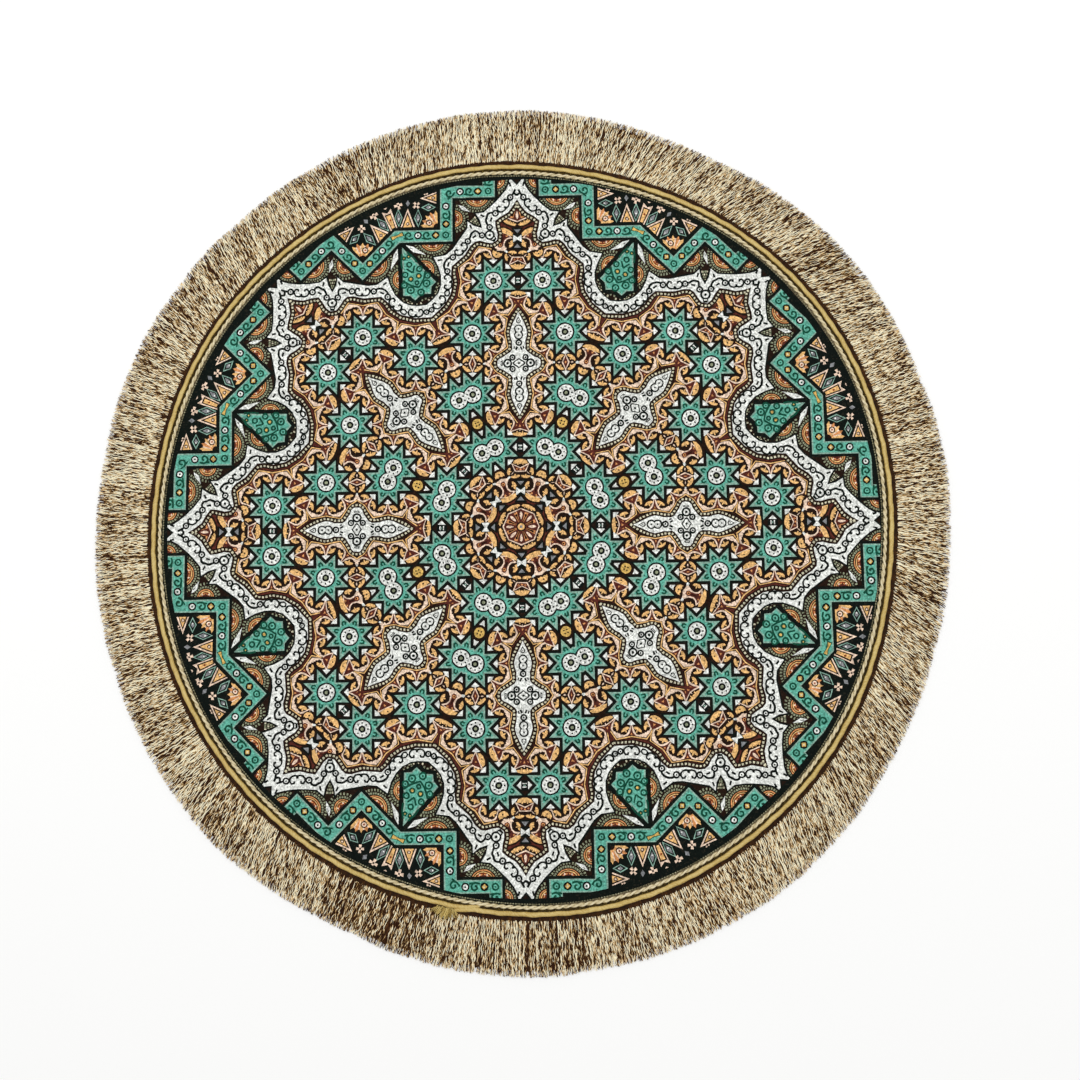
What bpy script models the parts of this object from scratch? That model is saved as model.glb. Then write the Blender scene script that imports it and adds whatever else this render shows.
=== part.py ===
"""Round flat-woven rug with a gold braid, an edge cord and a cut-yarn fringe.

Units are metres and +Z is up. The rug lies on the plane z = 0 and the origin is the centre
of its underside. Four sewn pieces: the woven ground, the fringe, the edge cord and the braid.
"""

import math
import random

import bmesh
import bpy

# Overall
FRINGE_RADIUS = 0.4995          # mean reach of the fringe ends
TRIM_RADIUS = 0.4283            # mean radius of the stitched groove between cord and braid
LENGTHWISE = 1.0075             # the rug is a little longer near to far than side to side
CROSSWISE = 0.9926
SEWN_GAP = 0.0003               # between two pieces that are sewn to each other
SEGMENTS = 144                  # steps round the ground and the trims

# Ground
GROUND_THICKNESS = 0.0022
GROUND_UNDER_BRAID = 0.0010     # how far the ground's cut edge passes the groove

# Fringe
FRINGE_THICKNESS = 0.0022
HEADING_WIDTH = 0.0095          # dark band that holds the yarn, mostly under the braid
LOCKS = 192                     # teeth of the comb, each one a lock of yarn
LOCK_FILL = 0.82                # share of the pitch that a lock takes up
LOCK_TAPER = 0.96               # width share left at the cut end
LOCK_LEAN = math.radians(0.55)  # largest turn of a lock's end to either side
LEAN_COLUMNS = ("order", "share", "start")
LEAN_WAVES = (                  # how the lean comes and goes round the rug
    (7, 0.6, 0.0),
    (17, 0.4, 1.0),
)
LOCK_UNEVEN = 0.0013            # largest change in length from lock to lock
LOCK_SEED = 11

# Edge cord, on the ground inside the groove
CORD_WIDTH = 0.0066
CORD_HEIGHT = 0.0026
CORD_OFFSET = -0.0046           # middle of the cord, from the groove
CORD_STEPS = 6                  # steps over its crown

# Braid, over the seam between the ground and the heading
RIB_WIDTH = 0.0060
RIB_HEIGHT = 0.0031
RIB_OFFSET = 0.0045             # middle of the rib, from the groove
RIB_STEPS = 6
RIB_FOOT = 0.0004               # slope from the web up to the rib
WEB_WIDTH = 0.0025              # flat part that reaches from the rib to the cord
WEB_HEIGHT = 0.0009

CROWN_FULLNESS = 0.8            # of both ribs' sections: 1 is a half oval, less is squarer

# Waves that move an edge in and out as it goes round, because the rug isn't quite round.
# order is the number of waves in one turn, far the size of the part that peaks at the far side
# and aside the size of the part that is a quarter wave further on, both in metres.
WAVE_COLUMNS = ("order", "far", "aside")
TRIM_WAVES = (
    (1, 0.0002, -0.0005),
    (2, 0.0002, -0.0007),
    (3, -0.0012, 0.0005),
    (4, -0.0016, -0.0016),
    (5, 0.0002, -0.0004),
    (6, 0.0005, -0.0004),
    (8, -0.0001, -0.0006),
)
FRINGE_WAVES = (
    (1, 0.0017, -0.0015),
    (2, -0.0003, -0.0010),
    (3, -0.0010, 0.0009),
    (4, -0.0005, -0.0018),
    (5, 0.0005, 0.0000),
    (6, 0.0012, -0.0003),
    (7, -0.0001, -0.0008),
    (8, 0.0007, 0.0000),
    (10, 0.0001, 0.0008),
)

# The braid's frayed end, turned out over the fringe, as a fan of stations that run outward
# from the groove. The angle is clockwise from the far side. Lengths are in metres.
TAIL_ANGLE = math.radians(191.5)
TAIL_COLUMNS = ("out", "aside", "width", "lift", "thickness")
TAIL_STATIONS = (
    (0.0030, 0.0000, 0.0050, 0.0003, 0.0016),
    (0.0085, 0.0012, 0.0062, 0.0001, 0.0013),
    (0.0135, 0.0032, 0.0078, 0.0000, 0.0011),
    (0.0185, 0.0058, 0.0094, 0.0000, 0.0008),
)

FINISHES = {                    # colour and roughness
    "rug_ground": ((0.155, 0.170, 0.130), 0.85),
    "fringe": ((0.500, 0.360, 0.230), 0.80),
    "edge_cord": ((0.560, 0.500, 0.300), 0.65),
    "gold_braid": ((0.560, 0.430, 0.160), 0.45),
}


def clear_scene():
    for thing in list(bpy.data.objects):
        bpy.data.objects.remove(thing, do_unlink=True)


def material(name):
    colour, roughness = FINISHES[name]
    made = bpy.data.materials.new(name)
    made.use_nodes = True
    shader = made.node_tree.nodes["Principled BSDF"]
    shader.inputs["Base Color"].default_value = (*colour, 1.0)
    shader.inputs["Roughness"].default_value = roughness
    shader.inputs["Metallic"].default_value = 0.0
    return made


def add_object(name, bm, finish=None):
    mesh = bpy.data.meshes.new(name)
    bmesh.ops.recalc_face_normals(bm, faces=bm.faces[:])
    bm.to_mesh(mesh)
    bm.free()
    mesh.materials.append(finish or material(name))
    made = bpy.data.objects.new(name, mesh)
    bpy.context.scene.collection.objects.link(made)
    return made


def waves(table, angle):
    """Sum of a wave table at an angle clockwise from the far side."""
    total = 0.0
    for row in table:
        wave = dict(zip(WAVE_COLUMNS, row))
        turn = wave["order"] * angle
        total += wave["far"] * math.cos(turn) + wave["aside"] * math.sin(turn)
    return total


def trim_radius(angle):
    return TRIM_RADIUS + waves(TRIM_WAVES, angle)


def fringe_radius(angle):
    return FRINGE_RADIUS + waves(FRINGE_WAVES, angle)


def place(radius, angle, z):
    """A point at a radius and an angle clockwise from the far side."""
    return (radius * math.sin(angle) * CROSSWISE, radius * math.cos(angle) * LENGTHWISE, z)


def loft(bm, rings, closed):
    """Join rings of equal length with quads; the last ring meets the first when closed."""
    count = len(rings[0])
    pairs = list(zip(rings, rings[1:]))
    if closed:
        pairs.append((rings[-1], rings[0]))
    for here, there in pairs:
        for i in range(count):
            j = (i + 1) % count
            bm.faces.new((here[i], here[j], there[j], there[i]))


def around(section):
    """Sweep a section of (offset from the groove, height) points once round the trim."""
    bm = bmesh.new()
    rings = []
    for step in range(SEGMENTS):
        angle = 2 * math.pi * step / SEGMENTS
        radius = trim_radius(angle)
        rings.append([bm.verts.new(place(radius + off, angle, z)) for off, z in section])
    loft(bm, rings, closed=True)
    return bm


def crown(middle, width, base, height, steps):
    """Points over a rounded rib, from its inner foot to its outer foot."""
    points = []
    for i in range(steps + 1):
        turn = math.pi * (1 - i / steps)
        rise = height * math.sin(turn) ** CROWN_FULLNESS
        points.append((middle + width / 2 * math.cos(turn), base + rise))
    return points


def rug_ground():
    bm = bmesh.new()
    lower = []
    upper = []
    for step in range(SEGMENTS):
        angle = 2 * math.pi * step / SEGMENTS
        radius = trim_radius(angle) + GROUND_UNDER_BRAID
        lower.append(bm.verts.new(place(radius, angle, 0.0)))
        upper.append(bm.verts.new(place(radius, angle, GROUND_THICKNESS)))
    loft(bm, [lower, upper], closed=False)
    bm.faces.new(lower)
    bm.faces.new(upper)
    return add_object("rug_ground", bm)


def lean(angle):
    """Turn of a lock's cut end against its foot."""
    total = 0.0
    for row in LEAN_WAVES:
        wave = dict(zip(LEAN_COLUMNS, row))
        total += wave["share"] * math.sin(wave["order"] * angle + wave["start"])
    return LOCK_LEAN * total


def lock_outline(index, draw):
    """Angles of one lock's foot and of its cut end, and how far its two tip corners reach."""
    pitch = 2 * math.pi / LOCKS
    middle = (index + 0.5) * pitch
    half = pitch * LOCK_FILL / 2
    reach = fringe_radius(middle) + draw.uniform(-1.0, 1.0) * LOCK_UNEVEN
    slant = draw.uniform(-0.5, 0.5) * LOCK_UNEVEN
    first = middle - half
    last = middle + half
    tip_middle = middle + lean(middle)
    tip_first = tip_middle - half * LOCK_TAPER
    tip_last = tip_middle + half * LOCK_TAPER
    return first, last, tip_first, tip_last, reach - slant, reach + slant


def fringe():
    """One comb: a flat heading ring with a lock of yarn at every pitch."""
    bm = bmesh.new()
    draw = random.Random(LOCK_SEED)
    levels = (0.0, FRINGE_THICKNESS)
    inner = {z: [] for z in levels}
    outer = {z: [] for z in levels}
    for index in range(LOCKS):
        first, last, tip_first, tip_last, reach_first, reach_last = lock_outline(index, draw)
        for z in levels:
            for angle in (first, last):
                seam = trim_radius(angle) + GROUND_UNDER_BRAID + SEWN_GAP
                inner[z].append(bm.verts.new(place(seam, angle, z)))
            foot_first = trim_radius(first) + GROUND_UNDER_BRAID + HEADING_WIDTH
            foot_last = trim_radius(last) + GROUND_UNDER_BRAID + HEADING_WIDTH
            corners = (
                (foot_first, first),
                (reach_first, tip_first),
                (reach_last, tip_last),
                (foot_last, last),
            )
            outer[z] += [bm.verts.new(place(radius, angle, z)) for radius, angle in corners]
    low, high = levels
    count = 4 * LOCKS
    for i in range(count):
        j = (i + 1) % count
        bm.faces.new((outer[low][i], outer[low][j], outer[high][j], outer[high][i]))
    count = 2 * LOCKS
    for i in range(count):
        j = (i + 1) % count
        bm.faces.new((inner[low][i], inner[high][i], inner[high][j], inner[low][j]))
    for z in levels:
        for index in range(LOCKS):
            foot_first, tip_first, tip_last, foot_last = outer[z][4 * index:4 * index + 4]
            seam_first, seam_last = inner[z][2 * index:2 * index + 2]
            following = 2 * ((index + 1) % LOCKS)
            bm.faces.new((foot_first, tip_first, tip_last, foot_last))
            bm.faces.new((seam_first, foot_first, foot_last, seam_last))
            bm.faces.new((seam_last, foot_last, outer[z][2 * following], inner[z][following]))
    return add_object("fringe", bm)


def edge_cord():
    base = GROUND_THICKNESS + SEWN_GAP
    section = crown(CORD_OFFSET, CORD_WIDTH, base, CORD_HEIGHT, CORD_STEPS)
    return add_object("edge_cord", around(section))


def braid_tail(finish):
    """The frayed end: a thin fan that leaves the rib and lies out over the fringe."""
    bm = bmesh.new()
    rings = []
    for row in TAIL_STATIONS:
        station = dict(zip(TAIL_COLUMNS, row))
        radius = trim_radius(TAIL_ANGLE) + station["out"]
        low = FRINGE_THICKNESS + SEWN_GAP + station["lift"]
        high = low + station["thickness"]
        ring = []
        for share, z in ((-0.5, low), (0.5, low), (0.4, high), (-0.4, high)):
            angle = TAIL_ANGLE + (station["aside"] + share * station["width"]) / radius
            ring.append(bm.verts.new(place(radius, angle, z)))
        rings.append(ring)
    loft(bm, rings, closed=False)
    bm.faces.new(rings[0])
    bm.faces.new(rings[-1])
    return add_object("braid_tail", bm, finish)


def gold_braid():
    base = GROUND_THICKNESS + SEWN_GAP
    rib = crown(RIB_OFFSET, RIB_WIDTH, base, RIB_HEIGHT, RIB_STEPS)
    web_start = rib[0][0] - WEB_WIDTH
    web_top = base + WEB_HEIGHT
    web = [(web_start, base), (web_start, web_top), (rib[1][0] - RIB_FOOT, web_top)]
    made = add_object("gold_braid", around(web + rib[1:]))
    tail = braid_tail(made.data.materials[0])
    join = made.modifiers.new("frayed end", "BOOLEAN")
    join.operation = "UNION"
    join.solver = "EXACT"
    join.object = tail
    tail.hide_render = True
    tail.display_type = "WIRE"
    return made


def centre(things):
    """Move the pieces so that the origin is the middle of the rug's own box."""
    corners = [v.co for thing in things for v in thing.data.vertices]
    middle_x = (min(c.x for c in corners) + max(c.x for c in corners)) / 2
    middle_y = (min(c.y for c in corners) + max(c.y for c in corners)) / 2
    for thing in bpy.data.objects:
        for vertex in thing.data.vertices:
            vertex.co.x -= middle_x
            vertex.co.y -= middle_y


def smooth(thing):
    thing.data.shade_smooth()
    thing.data.set_sharp_from_angle(angle=math.radians(40))


def main():
    clear_scene()
    pieces = [rug_ground(), fringe(), edge_cord(), gold_braid()]
    centre(pieces)
    for piece in pieces:
        smooth(piece)


main()
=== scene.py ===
import bpy, bmesh, math, random
import numpy as np
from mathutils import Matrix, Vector
from mathutils.geometry import delaunay_2d_cdt


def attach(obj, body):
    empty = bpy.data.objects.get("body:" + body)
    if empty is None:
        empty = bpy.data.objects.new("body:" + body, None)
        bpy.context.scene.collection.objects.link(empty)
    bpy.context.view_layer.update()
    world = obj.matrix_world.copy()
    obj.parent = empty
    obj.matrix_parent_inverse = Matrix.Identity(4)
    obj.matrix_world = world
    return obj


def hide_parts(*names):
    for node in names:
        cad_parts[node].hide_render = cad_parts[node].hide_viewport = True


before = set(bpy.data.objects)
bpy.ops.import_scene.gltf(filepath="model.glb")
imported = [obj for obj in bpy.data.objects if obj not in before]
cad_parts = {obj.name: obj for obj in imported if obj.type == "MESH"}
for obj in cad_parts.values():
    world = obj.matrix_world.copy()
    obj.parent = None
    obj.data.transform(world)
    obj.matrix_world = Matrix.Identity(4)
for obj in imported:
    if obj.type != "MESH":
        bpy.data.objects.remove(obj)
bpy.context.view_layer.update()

print("round rug: start")
random.seed(11)
rng = np.random.default_rng(11)

# the round layout that every piece is placed in
layout = {
    "middle": (0.00153, -0.00109),   # where the pattern's centre lies
    "unit": 0.00043,                 # the length that the pattern is drawn in
    "crosswise": 0.9926,             # the weave draws in a little across
    "lengthwise": 1.0075,            # and gives a little along
    "clothTop": 0.0022,
    "cordToGroove": 0.0046,          # from the cord's middle out to the groove
}


def place(radius, angle, height=0.0):
    turn = math.radians(angle)
    return (layout["middle"][0] + radius * math.sin(turn) * layout["crosswise"],
            layout["middle"][1] + radius * math.cos(turn) * layout["lengthwise"], height)


def placeAll(radius, angle, height):
    # the same for arrays
    turn = np.radians(angle)
    return np.stack([layout["middle"][0] + radius * np.sin(turn) * layout["crosswise"],
                     layout["middle"][1] + radius * np.cos(turn) * layout["lengthwise"],
                     height + 0.0 * radius], axis=-1)


def readCourse(node, cells):
    # inner and outer radius of a ring-shaped CAD node for each angle
    inner = np.full(cells, 9.0)
    outer = np.zeros(cells)
    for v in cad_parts[node].data.vertices:
        u = (v.co.x - layout["middle"][0]) / layout["crosswise"]
        w = (v.co.y - layout["middle"][1]) / layout["lengthwise"]
        cell = round(math.degrees(math.atan2(u, w)) % 360 * cells / 360) % cells
        radius = math.hypot(u, w)
        inner[cell] = min(inner[cell], radius)
        outer[cell] = max(outer[cell], radius)
    return inner, outer


cordInner, cordOuter = readCourse("edge_cord", 144)
fringeOuter = readCourse("fringe", 96)[1]


def between(values, angle):
    # a course's value at any angle
    at = np.asarray(angle) % 360 * len(values) / 360
    low = np.floor(at).astype(int)
    share = at - low
    return values[low % len(values)] * (1 - share) + values[(low + 1) % len(values)] * share


def groove(angle):
    # radius of the groove between the cord and the braid
    return (between(cordInner, angle) + between(cordOuter, angle)) / 2 + layout["cordToGroove"]


def tips(angle):
    return between(fringeOuter, angle)


def srgb(*card):
    # a yarn colour as a dyer's card gives it, made linear
    linear = [c / 255 / 12.92 if c <= 10 else ((c / 255 + 0.055) / 1.055) ** 2.4 for c in card]
    return (*linear, 1.0)


def newPiece(name, verts, faces, material, smooth=True):
    mesh = bpy.data.meshes.new(name)
    mesh.from_pydata(verts, [], faces)
    mesh.update()
    if smooth:
        mesh.shade_smooth()
    obj = bpy.data.objects.new(name, mesh)
    bpy.context.scene.collection.objects.link(obj)
    mesh.materials.append(material)
    return obj


def declare(obj, node):
    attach(obj, "root")
    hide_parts(node)


def flatMap(obj):
    # a map over the whole piece, seen from above, that fills the square
    mesh = obj.data
    co = np.empty(len(mesh.vertices) * 3)
    mesh.vertices.foreach_get("co", co)
    co = co.reshape(-1, 3)[:, :2]
    low, high = co.min(0), co.max(0)
    corner = np.empty(len(mesh.loops), dtype=np.int32)
    mesh.loops.foreach_get("vertex_index", corner)
    uv = (co[corner] - low) / (high - low) * 0.996 + 0.002
    layer = mesh.uv_layers.new(name="OFBake")
    layer.data.foreach_set("uv", uv.astype(np.float32).ravel())


# camera, floor and light
view = {
    "stand": (0.0514, -0.1603, 1.3076), "tilt": (6.279, 1.403, -0.860), "lens": 38.0, "sensor": 36.0,
    "floor": (253, 253, 252), "floorReach": 6, "floorLevel": -0.0003, "skyStrength": 0.80, "boxes": [
        # place, aimed at, width, power
        ((-1.1, 1.3, 2.2), (0, 0, 0), 1.6, 17.0),
        ((1.5, 0.4, 1.8), (0, 0, 0), 1.4, 6.0),
    ],
}


def makeStudio():
    scene = bpy.context.scene
    camData = bpy.data.cameras.new("camera")
    camData.lens = view["lens"]
    camData.sensor_width = view["sensor"]
    cam = bpy.data.objects.new("camera", camData)
    cam.location = (layout["middle"][0] + view["stand"][0], layout["middle"][1] + view["stand"][1],
                    layout["clothTop"] + view["stand"][2])
    cam.rotation_euler = [math.radians(a) for a in view["tilt"]]
    scene.collection.objects.link(cam)
    scene.camera = cam
    floorMat = bpy.data.materials.new("pale_floor")
    floorMat.use_nodes = True
    surface = floorMat.node_tree.nodes["Principled BSDF"]
    surface.inputs["Base Color"].default_value = srgb(*view["floor"])
    surface.inputs["Roughness"].default_value = 0.9
    surface.inputs["Specular IOR Level"].default_value = 0.1
    far, level = view["floorReach"], view["floorLevel"]
    floor = newPiece("floor", [(-far, -far, level), (far, -far, level), (far, far, level),
            (-far, far, level)],
                     [(0, 1, 2, 3)], floorMat)
    world = bpy.data.worlds.new("soft_sky")
    world.use_nodes = True
    world.node_tree.nodes["Background"].inputs[0].default_value = (1, 1, 1, 1)
    world.node_tree.nodes["Background"].inputs[1].default_value = view["skyStrength"]
    scene.world = world
    for n, (at, aim, width, power) in enumerate(view["boxes"]):
        lamp = bpy.data.lights.new("softbox_%d" % n, "AREA")
        lamp.size = width
        lamp.energy = power
        box = bpy.data.objects.new("softbox_%d" % n, lamp)
        box.location = at
        box.rotation_euler = (Vector(aim) - Vector(at)).to_track_quat("-Z", "Y").to_euler()
        scene.collection.objects.link(box)
    scene.view_settings.view_transform = "Standard"
    scene.view_settings.look = "None"


makeStudio()
print("studio ready")


# node helpers
def startMaterial(name, roughness, sheen=0.0, specular=0.3):
    mat = bpy.data.materials.new(name)
    mat.use_nodes = True
    tree = mat.node_tree
    surface = tree.nodes["Principled BSDF"]
    surface.inputs["Roughness"].default_value = roughness
    surface.inputs["Sheen Weight"].default_value = sheen
    surface.inputs["Sheen Roughness"].default_value = 0.5
    surface.inputs["Specular IOR Level"].default_value = specular
    return mat, tree, surface


def addNode(tree, kind, inputs=None, **settings):
    node = tree.nodes.new(kind)
    for key, value in settings.items():
        setattr(node, key, value)
    for key, value in (inputs or {}).items():
        if isinstance(value, bpy.types.NodeSocket):
            tree.links.new(value, node.inputs[key])
        else:
            node.inputs[key].default_value = value
    return node


def fineNoise(tree, where, scale, detail):
    noise = addNode(tree, "ShaderNodeTexNoise", {"Vector": where, "Scale": scale, "Detail": detail})
    return noise.outputs["Fac"]


def remap(tree, value, low, high, toLow, toHigh):
    return addNode(tree, "ShaderNodeMapRange", {0: value, 1: low, 2: high, 3: toLow, 4: toHigh}).outputs[0]


def tint(tree, colour, factor):
    # colour times factor
    return addNode(tree, "ShaderNodeVectorMath", {0: colour, 1: factor}, operation="MULTIPLY").outputs[0]


def addValues(tree, a, b, operation="ADD"):
    return addNode(tree, "ShaderNodeMath", {0: a, 1: b}, operation=operation).outputs[0]


# the pattern is drawn on one wedge, a sixteenth of a turn, which is then mirrored and turned
sixteenth = 22.5
sharpestBend = 0.45   # keeps a line's outline from running out where it bends sharply

yarns = {
    "ink": (8, 16, 12), "bark": (32, 17, 8), "wine": (84, 38, 30), "rust": (150, 72, 36),
    "ochre": (232, 184, 120), "gold": (212, 174, 96), "cream": (236, 208, 184), "peach": (214, 146, 92),
    "ivory": (228, 230, 224), "sand": (206, 200, 172), "sage": (142, 148, 120), "stone": (132, 134, 136),
    "teal": (98, 172, 152), "mist": (136, 172, 156), "pine": (12, 72, 54),
}

pieces = []      # (layer, yarn, outline)


def polar(radius, angle):
    turn = math.radians(angle)
    return radius * math.sin(turn), radius * math.cos(turn)


def put(shape, x=0.0, y=0.0, turn=0.0, size=1.0, flip=1.0):
    c = math.cos(math.radians(turn))
    s = math.sin(math.radians(turn))
    return [(x + size * (flip * u * c + v * s), y + size * (v * c - flip * u * s)) for u, v in shape]


def arc(x, y, radius, start, end, steps):
    spokes = [polar(radius, start + (end - start) * i / steps) for i in range(steps + 1)]
    return [(x + u, y + v) for u, v in spokes]


def disc(x, y, radius, sides):
    return arc(x, y, radius, 0, 360, sides)[:-1]


def block(nearHalf, near, farHalf, far):
    # a bar with a half width at each end
    return [(-nearHalf, near), (nearHalf, near), (farHalf, far), (-farHalf, far)]


def mirror(right, start=0):
    # a whole outline from its right side; start turns the list to begin at another point
    whole = right + [(-u, v) for u, v in right[::-1] if u]
    return whole[start:] + whole[:start]


def diamond(length, half):
    return [(0, length), (half, 0), (0, -length), (-half, 0)]


def cut(shape, px, py, nx, ny):
    # the part of a shape on one side of a line
    kept = []
    for (ax, ay), (bx, by) in zip(shape, shape[1:] + shape[:1]):
        da = (ax - px) * nx + (ay - py) * ny
        db = (bx - px) * nx + (by - py) * ny
        if da >= 0:
            kept.append((ax, ay))
        if (da >= 0) != (db >= 0):
            t = da / (da - db)
            kept.append((ax + (bx - ax) * t, ay + (by - ay) * t))
    return [p for n, p in enumerate(kept) if math.dist(p, kept[n - 1]) > 0.01]


def strip(points, width):
    # outline of a line of given width along the points
    left, right = [], []
    last = len(points) - 1
    for i, (x, y) in enumerate(points):
        ax, ay = points[max(i - 1, 0)]
        bx, by = points[min(i + 1, last)]
        if 0 < i < last:
            d1 = math.hypot(x - ax, y - ay) or 1
            d2 = math.hypot(bx - x, by - y) or 1
            tx = (x - ax) / d1 + (bx - x) / d2
            ty = (y - ay) / d1 + (by - y) / d2
        else:
            tx, ty = bx - ax, by - ay
        length = math.hypot(tx, ty) or 1
        tx, ty = tx / length, ty / length
        half = width / 2
        if 0 < i < last:
            half /= max(sharpestBend, abs(tx * (x - ax) / d1 + ty * (y - ay) / d1))
        left.append((x - ty * half, y + tx * half))
        right.append((x + ty * half, y - tx * half))
    return left + right[::-1]


def lay(layer, yarn, shape):
    pieces.append((layer, yarn, shape))


def pen(x, y, turn=0.0, flip=1.0, size=1.0):
    # lays shapes that are drawn about one spot
    def draw(layer, yarn, shape):
        lay(layer, yarn, put(shape, x, y, turn, size, flip))

    return draw


def path(points, step):
    # points spaced evenly along a line: x, y and direction
    found = []
    carry = 0.0
    for (ax, ay), (bx, by) in zip(points, points[1:]):
        length = math.hypot(bx - ax, by - ay)
        turn = math.degrees(math.atan2(bx - ax, by - ay))
        at = carry
        while at < length:
            found.append((ax + (bx - ax) * at / length, ay + (by - ay) * at / length, turn))
            at += step
        carry = at - length
    return found


def smooth(points, rounds=2, closed=False):
    # cuts a line's corners, a few times over
    for _ in range(rounds):
        new = []
        pairs = list(zip(points, points[1:])) + ([(points[-1], points[0])] if closed else [])
        if not closed:
            new.append(points[0])
        for (ax, ay), (bx, by) in pairs:
            new.append((ax * 0.75 + bx * 0.25, ay * 0.75 + by * 0.25))
            new.append((ax * 0.25 + bx * 0.75, ay * 0.25 + by * 0.75))
        if not closed:
            new.append(points[-1])
        points = new
    return points


def beside(points, distance):
    # the same line moved to the left of its direction
    out = []
    last = len(points) - 1
    for i, (x, y) in enumerate(points):
        ax, ay = points[max(i - 1, 0)]
        bx, by = points[min(i + 1, last)]
        tx, ty = bx - ax, by - ay
        length = math.hypot(tx, ty) or 1
        out.append((x - ty / length * distance, y + tx / length * distance))
    return out


# stars
star = {
    "side": 25.0, "outline": 7.0, "blackTip": 77.0, "kiteNear": 48.0, "kiteFar": 59.5, "kiteHalf": 10.8,
    "kiteTip": 61, "corner": 100.5, "rim": 107.0,
}
cartoucheAt = 447.0
lowStars, highStars = 215.5, 678.5
# each star: place, and what stands beside its eight notches (a arch, l link, b bud, - nothing)
starSpots = {
    "high": (68.2, highStars, ("aa", "aa", "aa", "al", "la", "a-", "--", "--")),
    "upper": (128.3, 531.5, ("la", "aa", "a-", "--", "bb", "aa", "aa", "al")),
    "lower": (128.3, 362.5, ("bb", "--", "--", "--", "--", "la", "aa", "aa")),
    "low": (68.2, lowStars, ("al", "--", "--", "--", "--", "--", "--", "-a")),
}
joins = [("high", "upper"), ("upper", "lower"), ("lower", "low")]


def starOutline(side, tip=None):
    notch = side * math.sqrt(2)
    tip = tip or side / math.cos(math.radians(67.5))
    return [polar(notch if k % 2 == 0 else tip, sixteenth * k) for k in range(16)]


def crescent(p, q, bulge, buds=1, bud=5.5, bite=2.4):
    # a leaf from p to q that swells to one side, with buds and bites on its other side
    length = math.hypot(q[0] - p[0], q[1] - p[1])
    flip = 1 if bulge > 0 else -1
    high = abs(bulge)
    top = [(-length / 2, 0), (-length * 0.41, high * 0.62), (-length * 0.18, high * 0.97),
           (length * 0.14, high * 0.97), (length * 0.40, high * 0.60), (length / 2, 0)]
    step = length / (buds + 1)
    under = []
    for k in range(buds, 0, -1):
        at = -length / 2 + step * k
        under += [(at + 3.6, -bite), (at + 2.4, 2.2), (at + 1.4, -bud), (at - 1.4, -bud), (at - 2.4, 2.2),
                  (at - 3.6, -bite)]
    if buds:
        under.append((-length / 2 + min(step * 0.4, 4.0), -bite))
    else:
        under = [(length * 0.25, -high * 0.25), (length * 0.05, -high * 0.36), (-length * 0.2, -high * 0.2),
                 (-length * 0.34, high * 0.1)]
    shape = [(u, flip * v) for u, v in top + under]
    turn = math.degrees(math.atan2(q[0] - p[0], q[1] - p[1])) - 90
    return put(shape, (p[0] + q[0]) / 2, (p[1] + q[1]) / 2, turn)


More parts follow.
